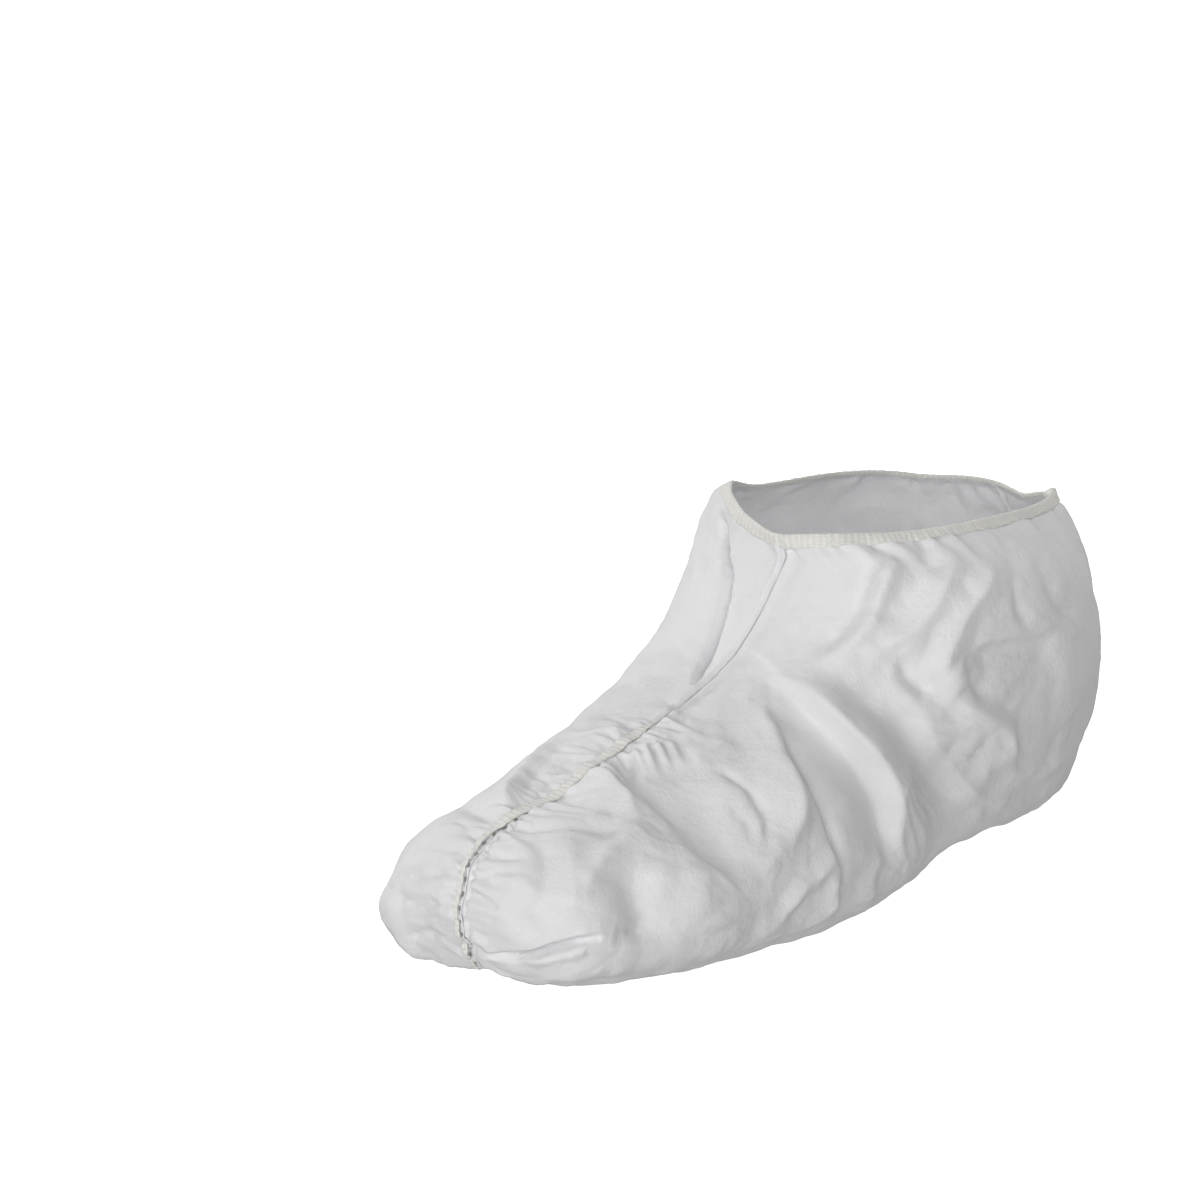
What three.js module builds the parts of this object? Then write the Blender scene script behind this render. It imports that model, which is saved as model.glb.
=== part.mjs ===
// Disposable shoe cover of thin nonwoven cloth, standing open on a floor by itself.
// Two side panels are sewn together along the front, toe, sole and heel. An elastic hem gathers
// the ankle opening and an elastic tape gathers the toe end of the front seam.
// Millimetres. +X points to the toe, +Y to the wearer's left, +Z up.
import * as THREE from 'three';

// ---------------------------------------------------------------- driving sizes
const WALL = 1.5; // panel wall
const PANEL_GAP = 0.3; // clearance between the two panels
const TRIM_GAP = 0.4; // clearance of the elastic hem and tape from the panels
const HEM_DEPTH = 4; // how far the elastic hem reaches below the rim
const HEM_LEAF = 1.2; // thickness of each leaf of the folded hem
const TAPE_WIDTH = 9;
const TAPE_THICKNESS = 0.9;
const TIP_CLEARANCE = 0.8; // the tape stands a little further off where it turns round the tip
const TAPE_START = 4.3; // section position where the tape begins on the instep
const TAPE_END = 8.7; // section position where the tape ends below the toe
const SECTION_ROWS = 38; // mesh rows from the hem's lower edge to the row before the tip
const LAST_ROW = 9.8; // section position of the row before the tip
const SIDE_COLUMNS = 26; // mesh columns of one panel, from the front seam to the sole seam
const FOLD_START = 0.8; // section position where the folds have their full height
const WAVE_END = 1.6; // section position where the rim's waves have died away
const FOLD_SAMPLES = 24; // points along a fold's path

const ORIGIN = new THREE.Vector3(59.23, 1.46, 0); // on the floor, below the middle of the whole

const CLOTH_COLOUR = 0xd9d9dc;
const ELASTIC_COLOUR = 0xe6e3d6;

// Cross sections from the rim to the tip of the toe. Each one is a ring through a point on the
// front seam and a point on the heel or sole seam.
//   front_x, front_y, front_z and back_x, back_y, back_z   the two seam points
//   width    half of the ring's width
//   lean     how much wider the left half is
//   belly    place of the widest line, as a share of the way from front to back
//   front_round, back_round   exponents of the ring's two halves, 2 for an ellipse
const SECTION_COLUMNS = [
  'front_x', 'front_y', 'front_z', 'back_x', 'back_y', 'back_z',
  'width', 'lean', 'belly', 'front_round', 'back_round',
];
const SECTIONS = {
  rim: [60, 7, 146, -97, 0, 132, 51, -2, 0.50, 2.0, 2.4],
  collar: [60, 9, 133, -115, 0, 107, 73, -3, 0.48, 2.2, 2.0],
  ankle: [76, 4, 106, -122, 0, 67, 77, -1, 0.50, 2.3, 2.2],
  heel: [97, 1, 92, -117, 0, 27, 75, -1, 0.52, 2.5, 2.2],
  instep: [121, 0, 85, -98, 0, -3, 71, -1, 0.54, 2.5, 2.2],
  waist: [148, 0, 80, -26, 0, -4, 69, 0, 0.58, 2.4, 2.4],
  ball: [178, 0, 72, 62, 0, -4, 69, 1, 0.63, 2.2, 2.6],
  toe_box: [210, -1, 70, 132, 0, -3, 62, 2, 0.60, 2.1, 2.5],
  toe_cap: [232, -1, 59, 188, 0, 2, 54, 1, 0.57, 2.2, 2.3],
  toe_end: [239, 0, 41, 222, 0, 9, 38, -1, 0.54, 2.1, 2.2],
  tip: [235, 0, 26, 235, 0, 26, 0, 0, 0.52, 2.0, 2.0],
};
const TIP = Object.keys(SECTIONS).length - 1;

// Folds: raised ridges (height above 0) and sunken creases (height below 0).
//   side     1 left panel, -1 right panel, 0 both
//   height   at the middle of the fold
//   width    distance from the path at which the fold has nearly died away
//   path     [section position, share of the half ring from the front seam to the sole seam]
const FOLDS = {
  ankle_sweep: { side: 1, height: 7, width: 9, path: [[2.4, 0.04], [2.9, 0.16], [4.0, 0.34], [5.5, 0.55]] },
  sweep_shadow: { side: 1, height: -5, width: 8, path: [[2.6, 0.13], [3.0, 0.25], [4.1, 0.40], [4.8, 0.49]] },
  sweep_inner: { side: 1, height: -4, width: 8, path: [[2.9, 0.09], [3.9, 0.22], [5.3, 0.38], [5.9, 0.49]] },
  ankle_hollow: { side: 1, height: -4, width: 10, path: [[2.7, 0.26], [3.7, 0.37], [4.6, 0.47]] },
  instep_puff: { side: 1, height: 6, width: 10, path: [[3.0, 0.09], [3.8, 0.18], [5.0, 0.29], [6.1, 0.36]] },
  instep_pocket: { side: 1, height: -8, width: 13, path: [[5.3, 0.12], [5.8, 0.21], [6.6, 0.34]] },
  ball_cheek: { side: 1, height: 3, width: 8, path: [[5.8, 0.07], [6.15, 0.13]] },
  ball_ridge: { side: 1, height: 3, width: 7, path: [[6.1, 0.14], [6.7, 0.19], [7.1, 0.21], [7.5, 0.24]] },
  ball_dent: { side: 1, height: -5, width: 9, path: [[7.2, 0.25], [7.55, 0.33], [7.9, 0.42]] },
  ball_bulge: { side: 1, height: 4, width: 11, path: [[6.75, 0.28], [7.2, 0.37], [7.6, 0.47]] },
  bulge_shade: { side: 1, height: -4, width: 8, path: [[6.9, 0.42], [7.2, 0.48], [7.6, 0.52]] },
  toe_crease: { side: 1, height: -3, width: 7, path: [[7.0, 0.08], [6.7, 0.13], [6.3, 0.15]] },
  low_crease: { side: 1, height: -3.5, width: 7, path: [[9.2, 0.46], [8.9, 0.38], [8.2, 0.38]] },
  side_rib: { side: 1, height: 3, width: 7, path: [[5.5, 0.42], [5.9, 0.44], [6.2, 0.46], [6.7, 0.53]] },
  collar_front: { side: 1, height: 5, width: 9, path: [[0.5, 0.17], [1.1, 0.16], [1.8, 0.17], [2.3, 0.17]] },
  collar_middle: { side: 1, height: 4, width: 7, path: [[0.4, 0.35], [1.2, 0.28], [1.8, 0.21]] },
  collar_back: { side: 1, height: 3, width: 7, path: [[0.55, 0.41], [1.1, 0.34], [1.8, 0.30], [2.1, 0.31]] },
  heel_puff: { side: 1, height: 4, width: 7, path: [[2.0, 0.31], [2.3, 0.35]] },
  heel_crease: { side: 1, height: -4, width: 9, path: [[1.9, 0.37], [1.8, 0.44], [1.75, 0.54]] },
  heel_rib: { side: 1, height: 5, width: 8, path: [[2.55, 0.34], [2.9, 0.45], [3.6, 0.50]] },
  heel_side: { side: 1, height: 2, width: 8, path: [[1.9, 0.52], [2.4, 0.56], [2.9, 0.58]] },
  heel_underside: { side: 1, height: -7, width: 14, path: [[5.5, 0.68], [4.9, 0.74], [3.6, 0.72]] },
  toe_underside: { side: 1, height: -5, width: 10, path: [[8.1, 0.72], [8.6, 0.76], [9.0, 0.78]] },
  far_instep: { side: -1, height: -3, width: 7, path: [[0.3, 0.23], [1.2, 0.09], [2.0, 0.04], [3.1, 0.02]] },
  far_sweep: { side: -1, height: 4, width: 9, path: [[2.8, 0.32], [3.6, 0.42], [4.6, 0.52]] },
  far_pocket: { side: -1, height: -6, width: 13, path: [[5.0, 0.22], [5.8, 0.34], [6.4, 0.44]] },
  far_collar: { side: -1, height: 4, width: 8, path: [[0.7, 0.42], [1.6, 0.40], [2.3, 0.36]] },
  far_heel: { side: -1, height: 4, width: 8, path: [[0.7, 0.66], [1.6, 0.70], [2.4, 0.68]] },
  toe_lobe: { side: -1, height: 8, width: 16, path: [[8.9, 0.60], [9.3, 0.62]] },
  lobe_bottom: { side: -1, height: 5, width: 9, path: [[8.8, 0.82], [9.2, 0.75]] },
  tape_groove: { side: 0, height: -3, width: 12, path: [[5.5, 0.0], [7.0, 0.0], [8.2, 0.0], [9.2, 0.0]] },
  toe_gather: { side: 0, height: -5, width: 14, path: [[9.3, 1.0], [8.8, 1.0], [8.2, 1.0]] },
};

// Waves of the gathered rim.
//   at      signed share of the half ring from the front seam, above 0 on the left panel
//   width   share of the half ring at which the wave has nearly died away
//   rise    how far it lifts the rim
//   out     how far it pushes the rim outwards
const RIM_WAVES = {
  front_corner: { at: -0.25, width: 0.12, rise: 6, out: 3.5 },
  front_dip: { at: 0.0, width: 0.08, rise: -2.7, out: 0 },
  left_side: { at: 0.50, width: 0.22, rise: 2.7, out: 0 },
  back_corner: { at: 0.75, width: 0.07, rise: -0.5, out: 4 },
  back_dip: { at: 0.92, width: 0.06, rise: -3, out: 0 },
  back_right: { at: -0.84, width: 0.09, rise: -1.7, out: 0 },
};

// ---------------------------------------------------------------- sections
const SEAM_SWAP = [3, 4, 5, 0, 1, 2]; // columns of the opposite seam point

// The table's rows with one more at each end: a straight run past the rim, and the last ring
// seen through the tip, so that the surface closes smoothly there.
function paddedSections() {
  const rows = Object.values(SECTIONS);
  const before = rows[0].map((value, column) => 2 * value - rows[1][column]);
  const ring = rows[TIP - 1];
  const after = ring.map((value, column) => {
    if (column < SEAM_SWAP.length) return ring[SEAM_SWAP[column]];
    const isWidth = SECTION_COLUMNS[column] === 'width' || SECTION_COLUMNS[column] === 'lean';
    return isWidth ? -value : value;
  });
  return [before, ...rows, after];
}
const PADDED = paddedSections();

// Section at any position between two rows, by a Catmull-Rom curve through every column.
function sectionAt(position) {
  const index = Math.min(Math.floor(position), TIP - 1);
  const t = position - index;
  const section = {};
  SECTION_COLUMNS.forEach((name, column) => {
    const [a, b, c, d] = [0, 1, 2, 3].map((step) => PADDED[index + step][column]);
    section[name] = b + 0.5 * t * (c - a + t * (2 * a - 5 * b + 4 * c - d + t * (3 * (b - c) + d - a)));
  });
  return section;
}

// Point of a section's ring. The angle runs from 0 at the front seam to PI at the sole seam,
// and is negative on the right panel.
function ringPoint(section, angle) {
  const cosine = Math.cos(angle);
  const sine = Math.sin(angle);
  const isFront = cosine >= 0;
  const round = isFront ? section.front_round : section.back_round;
  const reach = Math.abs(cosine) ** (2 / round);
  const back = isFront
    ? section.belly * (1 - reach)
    : section.belly + (1 - section.belly) * reach;
  const width = section.width + Math.sign(sine) * section.lean;
  const across = Math.sign(sine) * width * Math.abs(sine) ** (2 / round);
  return new THREE.Vector3(
    THREE.MathUtils.lerp(section.front_x, section.back_x, back),
    THREE.MathUtils.lerp(section.front_y, section.back_y, back) + across,
    THREE.MathUtils.lerp(section.front_z, section.back_z, back),
  );
}

function smoothPoint(position, angle) {
  return ringPoint(sectionAt(position), angle);
}

// Outward direction of the smooth surface.
function smoothNormal(position, angle) {
  const step = 0.01;
  const middle = THREE.MathUtils.clamp(position, step, TIP - 3 * step);
  const along = smoothPoint(middle + step, angle).sub(smoothPoint(middle - step, angle));
  const around = smoothPoint(middle, angle + step).sub(smoothPoint(middle, angle - step));
  return along.cross(around).normalize();
}

// ---------------------------------------------------------------- folds
function foldLine(fold) {
  const side = fold.side || 1;
  const path = new THREE.CatmullRomCurve3(
    fold.path.map(([position, share]) => new THREE.Vector3(position, share, 0)),
  );
  return path.getPoints(FOLD_SAMPLES).map((point) => smoothPoint(point.x, side * point.y * Math.PI));
}
const FOLD_LINES = Object.values(FOLDS).map((fold) => ({ ...fold, line: foldLine(fold) }));

function foldHeight(point, side) {
  let height = 0;
  for (const fold of FOLD_LINES) {
    if (fold.side && side && fold.side !== side) continue;
    const distance = Math.min(...fold.line.map((sample) => sample.distanceTo(point)));
    height += fold.height * Math.exp(-((distance / fold.width) ** 2));
  }
  return height;
}

// Waves of the rim at an angle: how far they lift it and push it out.
function rimWave(angle) {
  let [rise, out] = [0, 0];
  for (const wave of Object.values(RIM_WAVES)) {
    const apart = Math.abs(angle / Math.PI - wave.at);
    const share = Math.exp(-((Math.min(apart, 2 - apart) / wave.width) ** 2));
    rise += share * wave.rise;
    out += share * wave.out;
  }
  return { rise, out };
}

// Cloth surface: the smooth form with its folds, flattened where it lies on the floor. The hem
// holds the rim, so the folds start below it and the rim's waves fade below it.
function clothPoint(position, angle) {
  const base = smoothPoint(position, angle);
  const normal = smoothNormal(position, angle);
  const held = THREE.MathUtils.smoothstep(position, 0, FOLD_START);
  const free = 1 - THREE.MathUtils.smoothstep(position, 0, WAVE_END);
  const { rise, out } = rimWave(angle);
  const height = held * foldHeight(base, Math.sign(angle)) + free * out;
  const point = base.clone().addScaledVector(normal, height);
  point.z = Math.max(point.z + free * rise, 0);
  return point;
}

// ---------------------------------------------------------------- grid shared by all pieces
// Angle at which a ring is half a tape wide from a seam.
function seamEdgeAngle(section, side, round) {
  const width = section.width + side * section.lean;
  return Math.asin((TAPE_WIDTH / 2 / width) ** (round / 2));
}

function columnAngles(section, side) {
  const first = seamEdgeAngle(section, side, section.front_round);
  const last = Math.PI - seamEdgeAngle(section, side, section.back_round);
  const angles = [0];
  for (let column = 1; column < SIDE_COLUMNS; column += 1) {
    const share = (column - 1) / (SIDE_COLUMNS - 2);
    angles.push(THREE.MathUtils.lerp(first, last, share));
  }
  angles.push(Math.PI);
  return angles.map((angle) => side * angle);
}

// Section position of a mesh row. Row 0 is the rim, and row 1 lies at the hem's lower edge, at
// the same depth all round. The rest are spread evenly to the tip.
function rowPosition(row, angle) {
  if (row === 0) return 0;
  const step = 0.001;
  const slope = smoothPoint(0, angle).distanceTo(smoothPoint(step, angle)) / step;
  return THREE.MathUtils.lerp(HEM_DEPTH / slope, LAST_ROW, (row - 1) / SECTION_ROWS);
}
const ROWS = Array.from({ length: SECTION_ROWS + 2 }, (_, row) => rowPosition(row, 0));

// Rings of points around the whole cover. Column 0 is the front seam, column SIDE_COLUMNS the
// sole seam. Columns past it come back up the right panel.
function clothRings() {
  return ROWS.map((position, row) => {
    const section = sectionAt(position);
    const left = columnAngles(section, 1);
    const right = columnAngles(section, -1).slice(1, -1).reverse();
    return [...left, ...right].map((angle) => clothPoint(rowPosition(row, angle), angle));
  });
}

// Mean direction of the faces around each point of the rings, and at the tip.
function ringNormals(rings, tip) {
  const count = rings[0].length;
  const normals = rings.map((ring) => ring.map(() => new THREE.Vector3()));
  const tipNormal = new THREE.Vector3();
  const addFace = (corners, targets) => {
    const [a, b, c] = corners;
    const face = b.clone().sub(a).cross(c.clone().sub(a));
    targets.forEach((target) => target.add(face));
  };
  for (let row = 0; row < rings.length; row += 1) {
    for (let column = 0; column < count; column += 1) {
      const next = (column + 1) % count;
      if (row === rings.length - 1) {
        addFace(
          [rings[row][column], tip, rings[row][next]],
          [normals[row][column], tipNormal, normals[row][next]],
        );
        continue;
      }
      addFace(
        [rings[row][column], rings[row + 1][column], rings[row + 1][next]],
        [normals[row][column], normals[row + 1][column], normals[row + 1][next]],
      );
      addFace(
        [rings[row][column], rings[row + 1][next], rings[row][next]],
        [normals[row][column], normals[row + 1][next], normals[row][next]],
      );
    }
  }
  normals.flat().forEach((normal) => normal.normalize());
  return { normals, tipNormal: tipNormal.normalize() };
}

const RINGS = clothRings();
const TIP_POINT = smoothPoint(TIP, 0);
const { normals: NORMALS, tipNormal: TIP_NORMAL } = ringNormals(RINGS, TIP_POINT);
const RING_SIZE = 2 * SIDE_COLUMNS;

// A ring's point, moved sideways so that the two panels leave a gap, at a height off the cloth.
function offsetPoint(row, at, side, height) {
  const column = at % RING_SIZE;
  const point = RINGS[row][column].clone().addScaledVector(NORMALS[row][column], height);
  point.y += side * PANEL_GAP / 2;
  return point;
}

function offsetTip(side, height) {
  const point = TIP_POINT.clone().addScaledVector(TIP_NORMAL, height);
  point.y += side * PANEL_GAP / 2;
  return point;
}

// ---------------------------------------------------------------- solids
class Shell {
  constructor() {
    this.positions = [];
    this.faces = [];
  }

  add(point) {
    this.positions.push(point.x, point.y, point.z);
    return this.positions.length / 3 - 1;
  }

  triangle(a, b, c) {
    this.faces.push(a, b, c);
  }

  // Two triangles along the diagonal from the first corner, or along the other one.
  quad(corners, crossed = false) {
    const [a, b, c, d] = crossed ? [...corners.slice(1), corners[0]] : corners;
    this.triangle(a, b, c);
    this.triangle(a, c, d);
  }

  geometry() {
    const geometry = new THREE.BufferGeometry();
    geometry.setAttribute('position', new THREE.Float32BufferAttribute(this.positions, 3));
    geometry.setIndex(this.faces);
    geometry.computeVertexNormals();
    return geometry;
  }
}

// One side panel: outer and inner faces of the cloth, closed along the rim and the seams. The
// right panel's faces take their other diagonal, so that the two panels mirror each other.
function panelGeometry(side) {
  const shell = new Shell();
  const firstColumn = side > 0 ? 0 : SIDE_COLUMNS;
  const leaf = (height) => ({
    rows: RINGS.map((_, row) => Array.from(
      { length: SIDE_COLUMNS + 1 },
      (__, column) => shell.add(offsetPoint(row, firstColumn + column, side, height)),
    )),
    tip: shell.add(offsetTip(side, height)),
  });
  const outer = leaf(0);
  const inner = leaf(-WALL);
  const last = RINGS.length - 1;
  for (let column = 0; column < SIDE_COLUMNS; column += 1) {
    const next = column + 1;
    for (let row = 0; row < last; row += 1) {
      const [o, p] = [outer.rows[row], outer.rows[row + 1]];
      const [i, j] = [inner.rows[row], inner.rows[row + 1]];
      shell.quad([o[column], p[column], p[next], o[next]], side < 0);
      shell.quad([i[column], i[next], j[next], j[column]], side < 0);
    }
    shell.triangle(outer.rows[last][column], outer.tip, outer.rows[last][next]);
    shell.triangle(inner.rows[last][column], inner.rows[last][next], inner.tip);
    shell.quad([outer.rows[0][column], outer.rows[0][next], inner.rows[0][next], inner.rows[0][column]]);
  }
  const edge = (column, outward) => {
    const line = [...outer.rows.map((ids) => ids[column]), outer.tip];
    const lining = [...inner.rows.map((ids) => ids[column]), inner.tip];
    for (let row = 0; row <= last; row += 1) {
      const corners = [line[row], lining[row], lining[row + 1], line[row + 1]];
      shell.quad(outward ? corners : corners.reverse());
    }
  };
  edge(0, true);
  edge(SIDE_COLUMNS, false);
  return shell.geometry();
}

// Closes a row of equal cross sections into a solid. A loop joins the last one to the first.
// Faces that isCrossed names take their other diagonal, to run parallel to the panel's faces.
function sweptGeometry(sections, loop, isCrossed) {
  const shell = new Shell();
  const rows = sections.map((section) => section.map((point) => shell.add(point)));
  const size = rows[0].length;
  const steps = loop ? rows.length : rows.length - 1;
  for (let row = 0; row < steps; row += 1) {
    const [a, b] = [rows[row], rows[(row + 1) % rows.length]];
    for (let corner = 0; corner < size; corner += 1) {
      const next = (corner + 1) % size;
      shell.quad([a[corner], b[corner], b[next], a[next]], isCrossed(row, corner));
    }
  }
  const [start, end] = [rows[0], rows[rows.length - 1]];
  for (let corner = 1; corner < size - 1 && !loop; corner += 1) {
    shell.triangle(start[0], start[corner], start[corner + 1]);
    shell.triangle(end[0], end[corner + 1], end[corner]);
  }
  return shell.geometry();
}

// Corners of the hem's section where the faces next to the panels start.
const INNER_FOOT = 4;
const OUTER_TOP = 6;

// Elastic hem: folded over the rim, with one leaf outside the panels and one inside.
function hemGeometry() {
  const near = TRIM_GAP;
  const far = TRIM_GAP + HEM_LEAF;
  const sections = RINGS[0].map((_, at) => {
    const seam = at % SIDE_COLUMNS === 0;
    const shift = seam ? 0 : Math.sign(SIDE_COLUMNS - at) * PANEL_GAP / 2;
    const top = RINGS[0][at].clone().setY(RINGS[0][at].y + shift);
    const foot = RINGS[1][at].clone().setY(RINGS[1][at].y + shift);
    const up = top.clone().sub(foot).normalize();
    const place = (from, normal, outward, rise) => from.clone()
      .addScaledVector(normal, outward)
      .addScaledVector(up, rise);
    const [topNormal, footNormal] = [NORMALS[0][at], NORMALS[1][at]];
    return [
      place(foot, footNormal, far, 0),
      place(top, topNormal, far, far),
      place(top, topNormal, -WALL - far, far),
      place(foot, footNormal, -WALL - far, 0),
      place(foot, footNormal, -WALL - near, 0),
      place(top, topNormal, -WALL - near, near),
      place(top, topNormal, near, near),
      place(foot, footNormal, near, 0),
    ];
  });
  const isCrossed = (at, corner) => corner === (at < SIDE_COLUMNS ? INNER_FOOT : OUTER_TOP);
  return sweptGeometry(sections, true, isCrossed);
}

// Elastic tape: over the front seam from the instep, round the tip and under the toe.
function tapeGeometry() {
  const crossSection = (points, clearance) => {
    const lift = (height) => points.map(([point, normal]) => point.clone().addScaledVector(normal, height));
    return [...lift(clearance), ...lift(clearance + TAPE_THICKNESS).reverse()];
  };
  const ringSection = (row, columns) => crossSection(
    columns.map((at) => [RINGS[row][at], NORMALS[row][at]]),
    TRIM_GAP,
  );
  const rowsFrom = (position) => [...ROWS.keys()].filter((row) => ROWS[row] >= position);
  const front = rowsFrom(TAPE_START).map((row) => ringSection(row, [1, 0, RING_SIZE - 1]));
  const below = rowsFrom(TAPE_END).reverse()
    .map((row) => ringSection(row, [SIDE_COLUMNS - 1, SIDE_COLUMNS, SIDE_COLUMNS + 1]));
  const lastRing = RINGS[RINGS.length - 1];
  const besideTip = (at) => {
    const outward = lastRing[at].clone().sub(TIP_POINT).normalize();
    return [TIP_POINT.clone().addScaledVector(outward, TAPE_WIDTH / 2), TIP_NORMAL];
  };
  const tip = crossSection(
    [besideTip(SIDE_COLUMNS / 2), [TIP_POINT, TIP_NORMAL], besideTip(RING_SIZE - SIDE_COLUMNS / 2)],
    TIP_CLEARANCE,
  );
  const isCrossed = (_, corner) => corner === 0;
  return sweptGeometry([...front, tip, ...below], false, isCrossed);
}

// ---------------------------------------------------------------- assembly
const cloth = new THREE.MeshStandardMaterial({ color: CLOTH_COLOUR, roughness: 0.75, metalness: 0 });
const elastic = new THREE.MeshStandardMaterial({ color: ELASTIC_COLOUR, roughness: 0.85, metalness: 0 });

function piece(name, geometry, material) {
  const mesh = new THREE.Mesh(geometry.translate(-ORIGIN.x, -ORIGIN.y, -ORIGIN.z), material.clone());
  mesh.name = name;
  return mesh;
}

const shoeCover = new THREE.Group();
shoeCover.add(
  piece('side_panel_left', panelGeometry(1), cloth),
  piece('side_panel_right', panelGeometry(-1), cloth),
  piece('ankle_elastic', hemGeometry(), elastic),
  piece('toe_elastic', tapeGeometry(), elastic),
);

export default shoeCover;
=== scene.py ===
"""Looks of a disposable shoe cover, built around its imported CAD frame.

Two side panels of nonwoven cloth are sewn together along the front, toe, sole and heel. An elastic
hem gathers the ankle opening and an elastic tape gathers the toe end of the front seam. The cover
stands open on a floor. Metres, +X points to the toe, +Y to the wearer's left, +Z up.
"""

import math

import bmesh
import bpy
import numpy as np
from bpy.props import FloatProperty, FloatVectorProperty, IntProperty, PointerProperty
from mathutils import Matrix, Vector, noise


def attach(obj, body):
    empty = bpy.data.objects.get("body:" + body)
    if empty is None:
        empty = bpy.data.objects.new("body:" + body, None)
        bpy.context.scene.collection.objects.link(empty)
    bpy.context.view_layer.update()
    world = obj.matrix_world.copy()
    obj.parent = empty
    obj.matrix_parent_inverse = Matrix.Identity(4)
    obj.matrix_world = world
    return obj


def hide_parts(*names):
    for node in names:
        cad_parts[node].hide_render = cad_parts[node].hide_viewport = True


bl_info = {
    "name": "Shoe cover",
    "version": (1, 0, 0),
    "blender": (4, 5, 0),
    "location": "3D View > Sidebar > Shoe cover",
    "description": "Builds a nonwoven shoe cover around its CAD frame",
    "category": "Add Mesh",
}

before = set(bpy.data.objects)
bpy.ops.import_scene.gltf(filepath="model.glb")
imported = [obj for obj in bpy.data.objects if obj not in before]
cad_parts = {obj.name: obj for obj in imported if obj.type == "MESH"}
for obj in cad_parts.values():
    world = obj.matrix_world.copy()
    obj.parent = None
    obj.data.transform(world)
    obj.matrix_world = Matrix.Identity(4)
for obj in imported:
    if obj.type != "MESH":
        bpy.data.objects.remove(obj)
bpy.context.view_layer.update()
MM = 0.001

# ---------------------------------------------------------------- form of the cover
ORIGIN = np.array([59.23, 1.46, 0.0])  # millimetres, on the floor below the middle of the whole

# Cross sections from the rim to the tip of the toe, in millimetres. Each one is a ring through a
# point on the front seam and a point on the heel or sole seam.
#   front x, y, z and back x, y, z   the two seam points
#   width    half of the ring's width
#   lean     how much wider the left half is
#   belly    place of the widest line, as a share of the way from front to back
#   front round, back round   exponents of the ring's two halves, 2 for an ellipse
SECTIONS = {
    "rim": (60, 7, 146, -97, 0, 132, 51, -2, 0.50, 2.0, 2.4),
    "collar": (60, 9, 133, -115, 0, 107, 73, -3, 0.48, 2.2, 2.0),
    "ankle": (76, 4, 106, -122, 0, 67, 77, -1, 0.50, 2.3, 2.2),
    "heel": (97, 1, 92, -117, 0, 27, 75, -1, 0.52, 2.5, 2.2),
    "instep": (121, 0, 85, -98, 0, -3, 71, -1, 0.54, 2.5, 2.2),
    "waist": (148, 0, 80, -26, 0, -4, 69, 0, 0.58, 2.4, 2.4),
    "ball": (178, 0, 72, 62, 0, -4, 69, 1, 0.63, 2.2, 2.6),
    "toe box": (210, -1, 70, 132, 0, -3, 62, 2, 0.60, 2.1, 2.5),
    "toe cap": (232, -1, 59, 188, 0, 2, 54, 1, 0.57, 2.2, 2.3),
    "toe end": (239, 0, 41, 222, 0, 9, 38, -1, 0.54, 2.1, 2.2),
    "tip": (235, 0, 26, 235, 0, 26, 0, 0, 0.52, 2.0, 2.0),
}
TIP = len(SECTIONS) - 1
LEFT, RIGHT = 1, -1

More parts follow.
